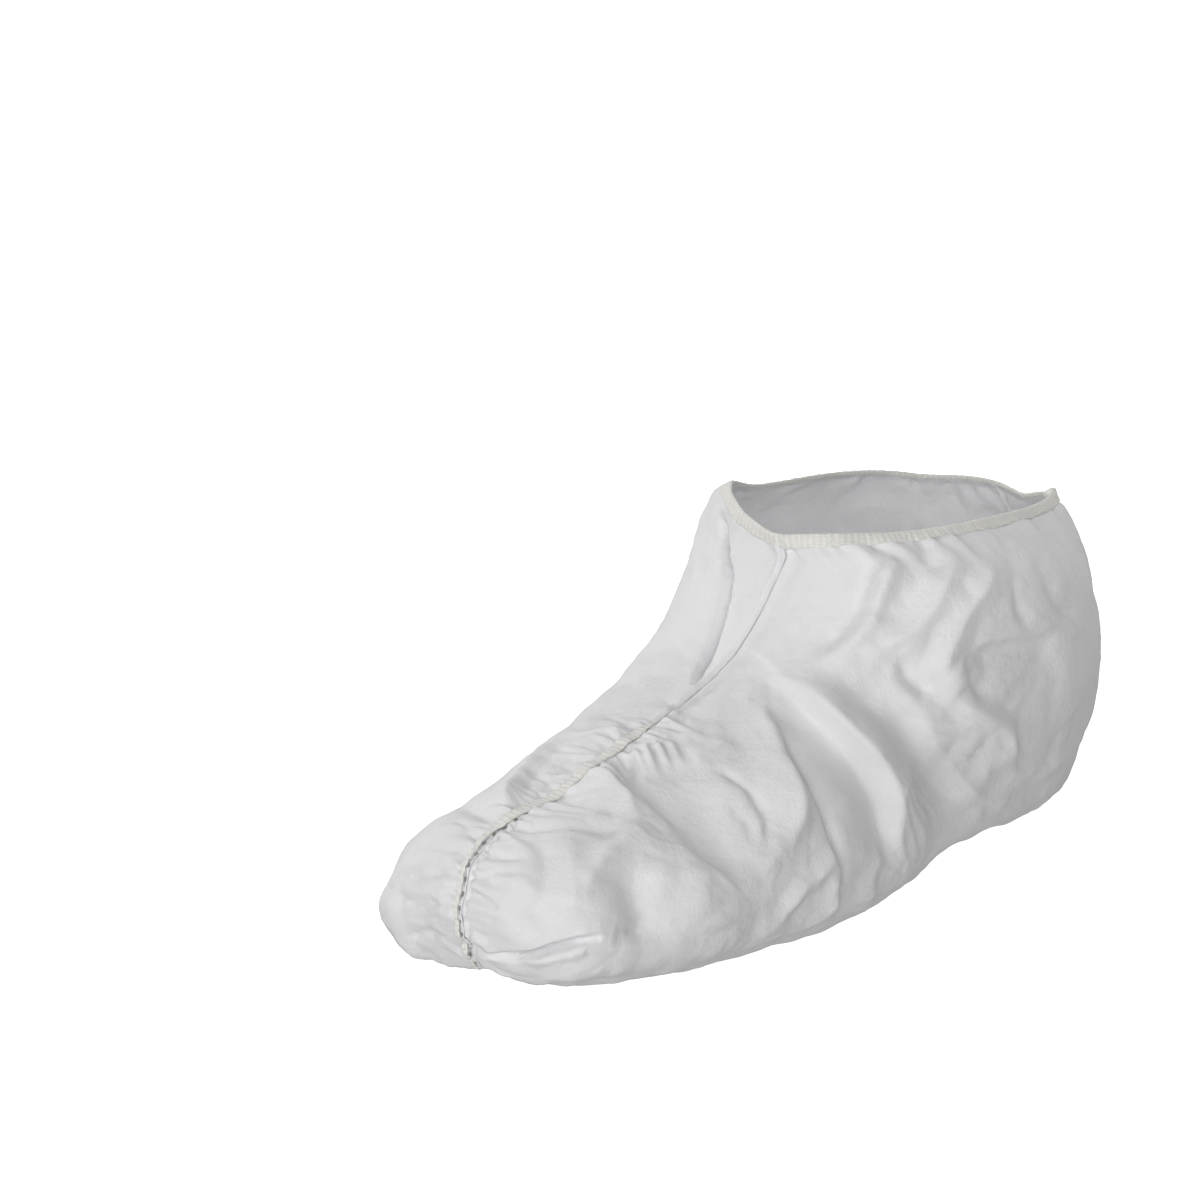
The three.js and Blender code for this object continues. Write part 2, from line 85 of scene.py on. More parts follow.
# Folds: raised ridges (height above 0) and sunken creases (height below 0), in millimetres.
#   side      LEFT, RIGHT or 0 for both
#   height    at the middle of the fold
#   widths    how far it reaches to the left and to the right of its path
#   crisp     4 for a slot with steep sides, 2 for a round back, 1 for a sharp edge
#   path      section position, and share of the half ring from the front seam to the sole seam
FOLDS = {
    "ankle sweep": (LEFT, 4.5, (15, 4.5), 2,
        [(2.5, 0.08), (3.1, 0.19), (3.9, 0.32), (4.5, 0.395), (5.3, 0.50)]),
    "sweep edge": (LEFT, 4.2, (11, 2.2), 1.1,
        [(2.5, 0.078), (3.1, 0.19), (3.9, 0.315), (4.5, 0.39), (5.3, 0.495)]),
    "sweep band": (LEFT, -3.2, (3, 9), 1.2,
        [(2.8, 0.10), (3.3, 0.193), (4.1, 0.313), (5.0, 0.44), (5.4, 0.49)]),
    "sweep inner": (LEFT, -3.2, (2.4, 2.4), 1.5,
        [(2.9, 0.085), (3.7, 0.16), (4.75, 0.30), (5.5, 0.415), (5.8, 0.48)]),
    "instep puff": (LEFT, 6.5, (4, 8), 1.2,
        [(3.1, 0.10), (3.7, 0.15), (4.3, 0.20), (4.9, 0.275), (5.35, 0.325), (5.8, 0.355)]),
    "instep pocket": (LEFT, -6, (13, 13), 2, [(5.3, 0.12), (5.7, 0.21), (6.2, 0.30), (6.5, 0.34)]),
    "pocket arc": (LEFT, -1.8, (2, 2), 1.5,
        [(4.95, 0.155), (5.0, 0.19), (5.2, 0.24), (5.5, 0.29), (5.8, 0.325)]),
    "pocket inner arc": (LEFT, -1.2, (2, 2), 1.5, [(5.45, 0.235), (5.65, 0.28), (5.9, 0.32)]),
    "pocket top": (LEFT, 2.5, (4, 4), 1.5, [(5.0, 0.11), (4.6, 0.12), (4.3, 0.14)]),
    "pocket edge": (LEFT, -1.5, (5, 5), 1.8,
        [(5.25, 0.02), (5.55, 0.075), (5.75, 0.13), (6.0, 0.215), (6.3, 0.28)]),
    "ball cheek": (LEFT, 8, (5, 9), 1.2, [(5.65, 0.02), (5.9, 0.07), (6.2, 0.14)]),
    "ball ridge": (LEFT, 3, (3, 3), 1.2, [(6.3, 0.17), (7.0, 0.205), (7.4, 0.225), (7.7, 0.255)]),
    "ball dent": (LEFT, -7, (10, 12), 2, [(6.95, 0.245), (7.3, 0.32), (7.6, 0.42), (7.85, 0.50)]),
    "ball bulge": (LEFT, 3, (16, 10), 2, [(6.4, 0.29), (6.7, 0.36), (7.0, 0.44), (7.2, 0.50)]),
    "side rib": (LEFT, 3, (2.5, 3), 1.1, [(5.5, 0.42), (5.9, 0.44), (6.2, 0.46), (6.7, 0.53)]),
    "lower side rib": (LEFT, 2.6, (2.5, 3), 1.1, [(5.65, 0.44), (5.95, 0.48), (6.3, 0.56)]),
    "waist rib": (LEFT, 2, (3, 4), 1.2, [(5.3, 0.48), (5.7, 0.51), (5.9, 0.58)]),
    "toe crease": (LEFT, -3, (2, 6), 1.1, [(7.1, 0.02), (7.0, 0.07), (6.7, 0.13), (6.3, 0.15)]),
    "toe hollow": (LEFT, -2.4, (8, 3), 1.4, [(7.3, 0.09), (7.8, 0.16), (8.3, 0.20), (8.8, 0.22)]),
    "toe side": (LEFT, 2.5, (4, 6), 1.2, [(7.1, 0.14), (7.5, 0.19), (7.85, 0.24), (8.1, 0.27)]),
    "low crease": (LEFT, -6, (1.6, 1.6), 4,
        [(9.7, 0.55), (9.4, 0.42), (9.0, 0.365), (8.6, 0.37), (8.2, 0.398)]),
    "low lip": (LEFT, 1.8, (3, 2.6), 1.8, [(9.3, 0.48), (9.0, 0.415), (8.6, 0.42), (8.4, 0.43)]),
    "collar front": (LEFT, 5, (7, 3.6), 1.1,
        [(0.2, 0.25), (1.0, 0.187), (1.4, 0.177), (1.8, 0.162), (2.3, 0.12)]),
    "collar flat": (LEFT, -3, (4, 6), 2,
        [(0.5, 0.19), (1.0, 0.15), (1.4, 0.14), (1.8, 0.125), (2.1, 0.10)]),
    "collar middle": (LEFT, 5, (6, 2.8), 1.1,
        [(0.3, 0.36), (0.95, 0.292), (1.3, 0.272), (1.65, 0.237), (2.0, 0.20)]),
    "collar dip": (LEFT, -3.5, (6, 5), 2, [(0.4, 0.29), (0.9, 0.24), (1.3, 0.205), (1.6, 0.185)]),
    "collar shade": (LEFT, -3.5, (3, 3), 1.2, [(1.9, 0.235), (2.25, 0.28), (2.55, 0.33)]),
    "collar back": (LEFT, 4.5, (5, 4), 1.1,
        [(0.5, 0.42), (1.1, 0.357), (1.4, 0.325), (1.75, 0.31), (2.0, 0.31), (2.3, 0.335)]),
    "heel puff": (LEFT, 3.5, (7, 7), 2, [(2.0, 0.325), (2.3, 0.365)]),
    "heel puff edge": (LEFT, -2, (5, 3), 1.2, [(1.9, 0.34), (2.3, 0.385), (2.6, 0.42)]),
    "heel crease": (LEFT, -4, (2.5, 14), 1.2, [(1.9, 0.36), (1.8, 0.43), (1.75, 0.54)]),
    "back crease": (LEFT, -2, (4, 4), 1.5, [(0.6, 0.45), (1.2, 0.43), (1.6, 0.46)]),
    "far back crease": (LEFT, -2.5, (5, 5), 1.5, [(0.9, 0.50), (1.3, 0.51), (1.6, 0.57)]),
    "heel rib": (LEFT, 6, (3.5, 10), 1.1,
        [(2.55, 0.35), (2.7, 0.41), (2.95, 0.465), (3.2, 0.485), (3.6, 0.505)]),
    "heel side": (LEFT, 3.5, (6, 4), 1.2, [(2.6, 0.30), (3.35, 0.385), (3.85, 0.45), (4.15, 0.50)]),
    "ankle hollow": (LEFT, -4.5, (11, 10), 2,
        [(2.6, 0.15), (2.85, 0.25), (3.4, 0.355), (4.0, 0.44), (4.6, 0.50)]),
    "heel band": (LEFT, 2.4, (3, 5), 1.1, [(3.6, 0.50), (3.5, 0.55), (3.3, 0.63)]),
    "heel bulge": (LEFT, 2, (8, 8), 2, [(1.9, 0.52), (2.4, 0.56), (2.9, 0.58)]),
    "heel underside": (LEFT, -8.5, (14, 14), 2, [(5.5, 0.68), (4.9, 0.74), (3.6, 0.72)]),
    "toe underside": (LEFT, -5, (10, 10), 2, [(8.1, 0.72), (8.6, 0.76), (9.0, 0.78)]),
    "tape pucker a": (LEFT, 2.4, (1.3, 1.3), 1.4, [(4.95, 0.012), (5.34, 0.065)]),
    "tape pucker b": (LEFT, 2.4, (1.3, 1.3), 1.4, [(4.82, 0.02), (5.28, 0.078)]),
    "tape pucker c": (LEFT, 2.2, (1.3, 1.3), 1.4, [(4.70, 0.03), (5.14, 0.09)]),
    "tape pucker d": (LEFT, 1.6, (1.3, 1.3), 1.4, [(4.60, 0.045), (5.06, 0.107)]),
    "tape hollow": (LEFT, -4, (4, 4), 2, [(5.05, 0.01), (5.45, 0.05), (5.85, 0.09)]),
    "toe ray a": (LEFT, -1.8, (2, 2), 1.6, [(7.9, 0.01), (7.7, 0.09)]),
    "toe ray b": (LEFT, -2, (2, 2), 1.6, [(8.3, 0.02), (7.95, 0.12)]),
    "toe ray c": (LEFT, -2, (2, 2), 1.6, [(8.6, 0.02), (8.7, 0.13)]),
    "far instep": (RIGHT, -8, (1.8, 1.8), 4,
        [(0.4, 0.20), (1.0, 0.134), (1.5, 0.077), (2.3, 0.037), (3.0, 0.01)]),
    "far instep groove": (RIGHT, -1.5, (4, 4), 2,
        [(0.4, 0.20), (1.0, 0.134), (1.5, 0.077), (2.3, 0.037), (3.0, 0.01)]),
    "far instep side": (RIGHT, -1.5, (3, 3), 1.5, [(0.8, 0.21), (1.2, 0.19), (1.8, 0.11)]),
    "far sweep": (RIGHT, 4, (9, 9), 2, [(2.8, 0.32), (3.6, 0.42), (4.6, 0.52)]),
    "far pocket": (RIGHT, -6, (13, 13), 2, [(5.0, 0.22), (5.8, 0.34), (6.4, 0.44)]),
    "far overlap": (RIGHT, 4, (3, 5), 1.1, [(5.1, 0.13), (5.9, 0.11), (6.5, 0.07), (6.9, 0.02)]),
    "far pinch": (RIGHT, -5, (5, 5), 1.5, [(7.05, 0.01), (6.95, 0.12), (6.7, 0.26)]),
    "far collar": (RIGHT, 4, (6, 9), 1.6, [(0.7, 0.42), (1.6, 0.40), (2.3, 0.36)]),
    "far heel": (RIGHT, 4, (9, 6), 1.6, [(0.7, 0.66), (1.6, 0.70), (2.4, 0.68)]),
    "toe lobe": (RIGHT, 5, (22, 22), 2, [(8.75, 0.50), (9.3, 0.54)]),
    "lobe bottom": (RIGHT, 2, (16, 16), 2, [(8.6, 0.84), (8.85, 0.80), (9.2, 0.72)]),
    "lobe ray a": (RIGHT, -2.2, (2.4, 2.4), 1.6, [(8.4, 0.04), (8.6, 0.20)]),
    "lobe ray b": (RIGHT, -2.4, (2.4, 2.4), 1.6, [(9.0, 0.06), (9.05, 0.28)]),
    "lobe ray c": (RIGHT, -1.8, (2.4, 2.4), 1.6, [(9.7, 0.39), (9.25, 0.60)]),
    "lobe ray d": (RIGHT, -1.6, (2, 2), 1.6, [(9.3, 0.08), (9.4, 0.40)]),
    "lobe ray e": (RIGHT, -1.4, (2, 2), 1.6, [(7.9, 0.03), (8.0, 0.18)]),
    "tape groove": (0, -3, (12, 12), 2, [(5.5, 0.0), (7.0, 0.0), (8.2, 0.0), (9.2, 0.0)]),
    "toe gather": (0, -5, (14, 14), 2, [(9.3, 1.0), (8.8, 1.0), (8.2, 1.0)]),
}

# Waves of the gathered rim.
#   at      signed share of the half ring from the front seam, above 0 on the left panel
#   width   share of the half ring at which the wave has nearly died away
#   rise    how far it lifts the rim, in millimetres
#   out     how far it pushes the rim outwards, in millimetres
RIM_WAVES = {
    "front corner": (-0.25, 0.12, 6, 3.5),
    "front dip": (0.0, 0.08, -2.7, 0),
    "left side": (0.50, 0.22, 2.7, 0),
    "back corner": (0.75, 0.07, -0.5, 4),
    "back dip": (0.92, 0.06, -3, 0),
    "back right": (-0.84, 0.09, -1.7, 0),
}
WAVE_END = 1.6  # section position where the rim's waves have died away
KNOT = (2.45, 0.0)  # section position and angle of the knot that the side's wrinkles fan out from
FOLD_STEPS = 28  # straight pieces in a fold's path
FOLD_REACH = 3.2  # widths from a path beyond which its fold is nothing
FOLD_END = 0.25  # a fold's height at its ends, as a share of the height at its middle
FOLD_FADE = 0.25  # share of its path over which a fold rises to its full height
SHARP = 1.25  # folds with a crispness below this have flat sides
EDGE_ROUND = 0.7  # radius of a sharp fold's edge, in millimetres
FLANK = 1.4  # curve of a sharp fold's sides, 1 for straight ones

RIM_RUN = 205.0  # length of one panel's rim, in millimetres
TAPE_START, TAPE_END = 4.3, 8.7  # section positions of the tape's ends on the instep and below the toe


def smoothstep(value, low, high):
    """0 below low, 1 above high, and a smooth ramp between them."""
    t = np.clip((np.asarray(value, float) - low) / (high - low), 0, 1)
    return t * t * (3 - 2 * t)


def bump(distance, width, power=2.0):
    """A bell that is 1 at distance 0 and has nearly died away past width."""
    return np.exp(-np.abs(distance / width) ** power)


def fold_profile(distance, width, crisp):
    """1 on a fold's path and almost nothing past twice its width: a bell for a round back, and
    flat sides that meet in an edge for a sharp one."""
    if crisp > SHARP:
        return bump(distance, width, crisp)
    apart = np.hypot(distance, EDGE_ROUND) - EDGE_ROUND
    return np.clip(1 - apart / (2 * width), 0, 1) ** FLANK


def padded_sections():
    """The table with one more row at each end: a straight run past the rim, and the last ring
    seen through the tip, so that the surface closes smoothly there."""
    rows = np.array(list(SECTIONS.values()), float)
    before = 2 * rows[0] - rows[1]
    after = rows[TIP - 1].copy()
    after[0:3], after[3:6] = rows[TIP - 1][3:6], rows[TIP - 1][0:3]
    after[6:8] *= -1
    return np.vstack([before, rows, after])


PADDED = padded_sections()


def catmull_rom(points, at):
    """Smooth curve through padded points: at 0 is the second point and each point is 1 apart."""
    index = np.clip(np.floor(at).astype(int), 0, len(points) - 4)
    t = (at - index)[..., None]
    a, b, c, d = (points[index + step] for step in range(4))
    return b + 0.5 * t * (c - a + t * (2 * a - 5 * b + 4 * c - d + t * (3 * (b - c) + d - a)))


def form_point(position, angle):
    """Point of the smooth form, in millimetres. The angle runs from 0 at the front seam to pi at
    the sole seam, and is negative on the right panel."""
    position, angle = np.broadcast_arrays(np.asarray(position, float), np.asarray(angle, float))
    row = catmull_rom(PADDED, position)
    front, rear, width = row[..., 0:3], row[..., 3:6], row[..., 6]
    lean, belly = row[..., 7], row[..., 8]
    cosine, sine = np.cos(angle), np.sin(angle)
    is_front = cosine >= 0
    exponent = 2 / np.where(is_front, row[..., 9], row[..., 10])
    reach = np.abs(cosine) ** exponent
    back = np.where(is_front, belly * (1 - reach), belly + (1 - belly) * reach)
    side = np.sign(sine)
    point = front + back[..., None] * (rear - front)
    point[..., 1] += side * (width + side * lean) * np.abs(sine) ** exponent
    return point


def unit(vectors):
    """Vectors of length 1."""
    length = np.linalg.norm(vectors, axis=-1, keepdims=True)
    return vectors / np.maximum(length, 1e-9)


def form_normal(position, angle, step=0.01):
    """Outward direction of the smooth form."""
    middle = np.clip(position, step, TIP - 3 * step)
    along = form_point(middle + step, angle) - form_point(middle - step, angle)
    around = form_point(middle, angle + step) - form_point(middle, angle - step)
    return unit(np.cross(along, around))


def fold_line(path, side):
    """Points along a fold's path on the smooth form."""
    points = np.array(path, float)
    ends = 2 * points[0] - points[1], 2 * points[-1] - points[-2]
    padded = np.vstack([ends[0], points, ends[1]])
    steps = np.linspace(0, len(points) - 1, FOLD_STEPS + 1)
    position, share = catmull_rom(padded, steps).T
    return form_point(position, side * share * math.pi), form_normal(position, side * share * math.pi)


def path_distance(points, line, normals):
    """Distance of each point from a line, negative to the right of its direction, and how far
    along the line its nearest place is, from 0 to 1."""
    nearest = np.full(len(points), np.inf)
    side = np.zeros(len(points))
    along = np.zeros(len(points))
    for step, (start, end) in enumerate(zip(line[:-1], line[1:])):
        run = end - start
        t = np.clip((points - start) @ run / (run @ run), 0, 1)
        offset = points - start - t[:, None] * run
        distance = np.einsum("ij,ij->i", offset, offset)
        closer = distance < nearest
        nearest[closer] = distance[closer]
        side[closer] = np.sign(offset[closer] @ np.cross(normals[step], run))
        along[closer] = (step + t[closer]) / (len(line) - 1)
    return np.sqrt(nearest) * np.where(side < 0, -1, 1), along


def fold_height(points, panel):
    """Height of all the folds of one panel, in millimetres, at points of the smooth form."""
    total = np.zeros(len(points))
    for side, height, widths, crisp, path in FOLDS.values():
        if side and side != panel:
            continue
        line, normals = fold_line(path, panel)
        reach = FOLD_REACH * max(widths)
        near = np.all((points > line.min(0) - reach) & (points < line.max(0) + reach), axis=1)
        distance, along = path_distance(points[near], line, normals)
        width = np.where(distance > 0, widths[0], widths[1])
        taper = smoothstep(along, 0, FOLD_FADE) * (1 - smoothstep(along, 1 - FOLD_FADE, 1))
        share = FOLD_END + (1 - FOLD_END) * taper
        total[near] += height * share * fold_profile(distance, width, crisp)
    return total


def rim_wave(angle):
    """How far the rim's waves lift it and push it out, in millimetres."""
    rise, out = np.zeros(np.shape(angle)), np.zeros(np.shape(angle))
    for at, width, lift, push in RIM_WAVES.values():
        apart = np.abs(angle / math.pi - at)
        share = bump(np.minimum(apart, 2 - apart), width)
        rise += share * lift
        out += share * push
    return rise, out


# ---------------------------------------------------------------- settings
class ShoeCoverCloth(bpy.types.PropertyGroup):
    """Sizes and colour of the nonwoven cloth."""

    thickness: FloatProperty(name="Thickness", description="Cloth thickness", default=0.45 * MM,
                             min=0.1 * MM, max=1.5 * MM, precision=5, unit="LENGTH")
    rows: IntProperty(name="Rows", description="Mesh rows from the rim to the tip", default=280,
                      min=60, max=400)
    columns: IntProperty(name="Columns", description="Mesh columns from seam to seam", default=170,
                         min=40, max=240)
    crumple: FloatProperty(name="Crumple", description="Height of the random small wrinkles",
                           default=1.1 * MM, min=0, max=3 * MM, precision=5, unit="LENGTH")
    fan: FloatProperty(name="Fan", description="Height of the wrinkles that fan out from the front",
                       default=0.4 * MM, min=0, max=3 * MM, precision=5, unit="LENGTH")
    seed: IntProperty(name="Seed", description="Start of everything random", default=7)
    colour: FloatVectorProperty(name="Colour", description="Colour of the cloth", size=3, min=0,
                                max=1, default=(0.78, 0.78, 0.79), subtype="COLOR")


class ShoeCoverElastic(bpy.types.PropertyGroup):
    """Sizes and colour of the ankle hem and the toe tape."""

    hem_depth: FloatProperty(name="Hem depth", description="Height of the elastic hem", unit="LENGTH",
                             default=5.6 * MM, min=3 * MM, max=12 * MM)
    tape_width: FloatProperty(name="Tape width", description="Width of the toe tape", unit="LENGTH",
                              default=5.2 * MM, min=3 * MM, max=9 * MM)
    colour: FloatVectorProperty(name="Colour", description="Colour of the elastic", size=3, min=0,
                                max=1, default=(0.80, 0.79, 0.75), subtype="COLOR")


class ShoeCoverStage(bpy.types.PropertyGroup):
    """Floor and light."""

    floor_colour: FloatVectorProperty(name="Floor", description="Colour of the floor", size=3, min=0,
                                      max=1, default=(0.95, 0.95, 0.95), subtype="COLOR")
    bounce: FloatProperty(name="Bounce", description="Strength of the light thrown back by the floor",
                          default=0.5, min=0, max=3)
    ambient: FloatProperty(name="Ambient", description="Strength of the light from the sky",
                           default=0.03, min=0, max=3)
    key: FloatProperty(name="Key light", description="Power of the soft light in front, left",
                       default=16, min=0, max=500, unit="POWER")
    fill: FloatProperty(name="Fill light", description="Power of the soft light in front",
                        default=20, min=0, max=500, unit="POWER")
    top: FloatProperty(name="Top light", description="Power of the soft light above",
                       default=7, min=0, max=500, unit="POWER")
    right: FloatProperty(name="Back light, right", description="Power of the soft light behind, right",
                         default=17, min=0, max=500, unit="POWER")
    left: FloatProperty(name="Back light, left", description="Power of the soft light behind, left",
                        default=26, min=0, max=500, unit="POWER")
    glow: FloatProperty(name="Glow", description="Power of the light that comes through the cloth",
                        default=0.022, min=0, max=10, unit="POWER")


def settings():
    """The scene's settings: cloth, elastic and stage."""
    scene = bpy.context.scene
    return scene.shoe_cover_cloth, scene.shoe_cover_elastic, scene.shoe_cover_stage


# ---------------------------------------------------------------- cloth surface
# Sizes of the random wrinkles' parts, in millimetres.
WARP_SIZE, SWELL_SIZE, FACET_SIZE, CRINKLE_SIZE = 40, 34, 27, 11
SWELL, FACETS, CRINKLES, CRUMPLE_BASE = 0.9, 2.0, 0.7, 0.8  # their heights, and what is taken off
FAN_RISE, FAN_FADE = (8, 45), (60, 105)  # distances from the knot over which its wrinkles come and go
FAN_MEAN = 0.7  # half-way height of a fan of wrinkles
FAN_COARSE, FAN_FINE = (20, 44), (44, 90)  # how many wrinkles a full turn round the knot would have
FAN_WANDER, FAN_WANDER_RUN = 5, 120  # degrees that they wander, and over how many millimetres
FINE_SHARE, FINE_WANDER = 0.35, 0.6  # the fine wrinkles' height and wander, next to the coarse ones'
RIDGE_AWAY, RIDGE_HALF, GROOVE_HALF = 1.9, 1.0, 0.9  # a seam's ridges and groove, in millimetres
SEAM_DEPTH, SOLE_SEAM = 1.2, 0.7  # depth of the front seam in millimetres, and the sole seam's share
FRONT_SEAM_FADE, SOLE_SEAM_FADE = (3.9, 4.5), (8.0, 8.7)  # section positions where the seams fade out
RIM_HELD = 0.8  # section position up to which the elastic holds the cloth smooth
FLOOR_ROUND = 1.0  # how softly the cloth flattens on the floor, in millimetres

# Gathers along the elastic: pitch, heights, half widths and lengths in millimetres, then slant.
HEM_FOLDS = (6.5, (0.8, 2.4), (1.5, 3.2), (8, 28), 0.35)
HEM_CRINKLES = (3.1, (0.4, 1.1), (0.9, 1.5), (5, 12), 0.2)
TAPE_PUCKERS = (3.4, (0.7, 2.2), (0.9, 1.6), (6, 20), 0.4)
HEM_REACH, TAPE_REACH = 60, 40  # distances past which the gathers are nothing
HEM_CLEAR, TAPE_CLEAR = (2.5, 6.5), (-1.5, 1.5)  # distances over which they rise to full height

# Dents that the stitches pull into the cloth beside the tape, in millimetres.
DENT_START = 6.9  # section position where they begin
DENT_AWAY, DENT_HALF = 1.9, 0.8  # distance from the seam, and half width
DENT_LENGTHS, DENT_DEPTHS, DENT_PITCHES = (0.7, 1.5), (1.2, 2.4), (3.2, 6.4)
DENT_REACH = 8


def crumple_height(points, seed):
    """Facets with creases between them, as in crushed paper, about -1 to 1, at points in
    millimetres."""
    noise.seed_set(seed + 1)
    shift = Vector((seed, 2.3 * seed, 0))
    values = np.empty(len(points))
    for index, point in enumerate(points):
        place = Vector(point)
        warp = noise.noise_vector(place / WARP_SIZE + shift)
        swell = noise.noise(place / SWELL_SIZE + shift)
        large = noise.voronoi(place / FACET_SIZE + 0.5 * warp + shift)[0]
        small = noise.voronoi(place / CRINKLE_SIZE + 0.9 * warp - shift)[0]
        creases = FACETS * (large[1] - large[0]) + CRINKLES * (small[1] - small[0])
        values[index] = SWELL * swell + creases - CRUMPLE_BASE
    return values


def ripple(place, low, high, seed):
    """Sum of waves with random phases and low to high periods over 0 to 1, about -1 to 1."""
    random = np.random.default_rng(seed)
    total = np.zeros(np.shape(place))
    weight = 0.0
    for period in range(low, high):
        size = random.uniform(0.3, 1)
        total += size * np.cos(2 * math.pi * (period * place + random.random()))
        weight += size ** 2
    return total / math.sqrt(2 * weight)


def fan_height(points, panel, seed):
    """Wrinkles that fan out over a panel's side from the knot on its front seam, in millimetres."""
    offset = points - form_point(*KNOT)
    reach = np.hypot(offset[:, 0], offset[:, 2])
    turn = np.degrees(np.arctan2(offset[:, 2], offset[:, 0]))
    wander = FAN_WANDER * ripple(reach / FAN_WANDER_RUN, 1, 5, seed + panel)
    coarse = ripple((turn + wander) / 360, *FAN_COARSE, seed + 60 + panel)
    fine = ripple((turn + FINE_WANDER * wander) / 360, *FAN_FINE, seed + 70 + panel)
    sharp = FAN_MEAN - np.abs(coarse) + FINE_SHARE * (FAN_MEAN - np.abs(fine))
    return sharp * smoothstep(reach, *FAN_RISE) * (1 - smoothstep(reach, *FAN_FADE))


def seam_height(distance):
    """A seam: a fine groove between two narrow ridges."""
    return SEAM_DEPTH * (bump(distance - RIDGE_AWAY, RIDGE_HALF) - bump(distance, GROOVE_HALF))


class Gathers:
    """Small random folds that start side by side along an elastic edge and die away from it.
    Each has a place along the edge, a height, a half width, a length and a slant."""

    def __init__(self, run, pitch, heights, widths, lengths, slant, seed):
        random = np.random.default_rng(seed)
        count = int(run / pitch)
        self.places = (np.arange(count) + random.uniform(0.15, 0.85, count)) * pitch
        self.heights = random.uniform(*heights, count) * random.choice([1, 1, -0.7], count)
        self.widths = random.uniform(*widths, count)
        self.lengths = random.uniform(*lengths, count)
        self.slants = random.uniform(-slant, slant, count)

    def height(self, along, away):
        """Height at places along the edge and distances away from it, in millimetres."""
        total = np.zeros(np.shape(along))
        away = np.maximum(away, 0)
        sizes = zip(self.places, self.heights, self.widths, self.lengths, self.slants)
        for place, height, width, length, slant in sizes:
            spread = width * (1 + 0.6 * away / length)
            total += height * bump(along - place - slant * away, spread) * bump(away, length)
        return total


def run_along(points):
    """Length along a line of points, from its start to each of them."""
    steps = np.linalg.norm(np.diff(points, axis=0), axis=1)
    return np.concatenate([[0], np.cumsum(steps)])


def seam_run(angle, count=400):
    """Section positions along a seam, and its length up to each of them."""
    samples = np.linspace(0, TIP, count)
    return samples, run_along(form_point(samples, angle))


class Cloth:
    """The cover's outer face, with its folds."""

    def __init__(self):
        cloth, elastic, _ = settings()
        self.seed = cloth.seed
        self.crumple = cloth.crumple / MM
        self.fan = cloth.fan / MM
        self.tape_edge = 0.5 * elastic.tape_width / MM
        self.front, self.sole = seam_run(0.0), seam_run(math.pi)

    def hem_gathers(self, panel, angle, base):
        """Folds that hang from the hem."""
        folds = Gathers(RIM_RUN, *HEM_FOLDS, self.seed + panel)
        fine = Gathers(RIM_RUN, *HEM_CRINKLES, self.seed + 4 + panel)
        along = np.abs(angle) / math.pi * RIM_RUN
        away = np.linalg.norm(base - form_point(0.0, angle), axis=1)
        near = away < HEM_REACH
        height = np.zeros(len(base))
        height[near] = folds.height(along[near], away[near]) + fine.height(along[near], away[near])
        return height * smoothstep(away, *HEM_CLEAR)

    def tape_gathers(self, panel, position, base):
        """Puckers on both sides of the tape."""
        height = np.zeros(len(base))
        for seam, line, first, seed in ((0.0, self.front, TAPE_START - 0.2, 21),
                                        (math.pi, self.sole, TAPE_END - 0.3, 31)):
            run = np.interp(position, *line)
            start = np.interp(first, *line)
            puckers = Gathers(line[1][-1] - start, *TAPE_PUCKERS, self.seed + seed + panel)
            away = np.linalg.norm(base - form_point(position, seam), axis=1) - self.tape_edge
            near = (away < TAPE_REACH) & (run > start - 5)
            shape = puckers.height(run[near] - start, away[near])
            height[near] += shape * smoothstep(away[near], *TAPE_CLEAR)
        return height

    def stitch_dents(self, panel, position, base):
        """Small dents that the stitches pull into the cloth beside the tape on the toe."""
        run = np.interp(position, *self.front)
        away = np.linalg.norm(base - form_point(position, 0.0), axis=1)
        random = np.random.default_rng(self.seed + 50 + panel)
        total = np.zeros(len(base))
        at = np.interp(DENT_START, *self.front)
        while at < self.front[1][-1]:
            length = random.uniform(*DENT_LENGTHS)
            near = (np.abs(run - at) < DENT_REACH) & (away < DENT_REACH)
            shape = bump(run[near] - at, length, 3) * bump(away[near] - DENT_AWAY, DENT_HALF)
            total[near] -= random.uniform(*DENT_DEPTHS) * shape
            at += random.uniform(*DENT_PITCHES)
        return total

    def seams(self, position, base):
        """The front seam and the sole seam."""
        front = np.linalg.norm(base - form_point(position, 0.0), axis=1)
        sole = np.linalg.norm(base - form_point(position, math.pi), axis=1)
        height = seam_height(front) * (1 - smoothstep(position, *FRONT_SEAM_FADE))
        return height + SOLE_SEAM * seam_height(sole) * (1 - smoothstep(position, *SOLE_SEAM_FADE))

    def point(self, position, angle, panel):
        """Points of the cloth in millimetres from the form's own origin."""
        shape = np.broadcast_shapes(np.shape(position), np.shape(angle))
        position = np.broadcast_to(position, shape).ravel().astype(float)
        angle = np.broadcast_to(angle, shape).ravel().astype(float)
        base = form_point(position, angle)
        normal = form_normal(position, angle)
        loose = smoothstep(position, 0, RIM_HELD)
        height = loose * fold_height(base, panel)
        height += loose * self.crumple * crumple_height(base, self.seed)
        height += self.fan * fan_height(base, panel, self.seed)
        height += self.hem_gathers(panel, angle, base)
        height += self.tape_gathers(panel, position, base)
        height += self.stitch_dents(panel, position, base)
        height += self.seams(position, base)
        rise, out = rim_wave(angle)
        free = 1 - smoothstep(position, 0, WAVE_END)
        point = base + (height + free * out)[:, None] * normal
        point[:, 2] += free * rise
        point[:, 2] = 0.5 * (point[:, 2] + np.hypot(point[:, 2], FLOOR_ROUND))
        return point.reshape(shape + (3,))


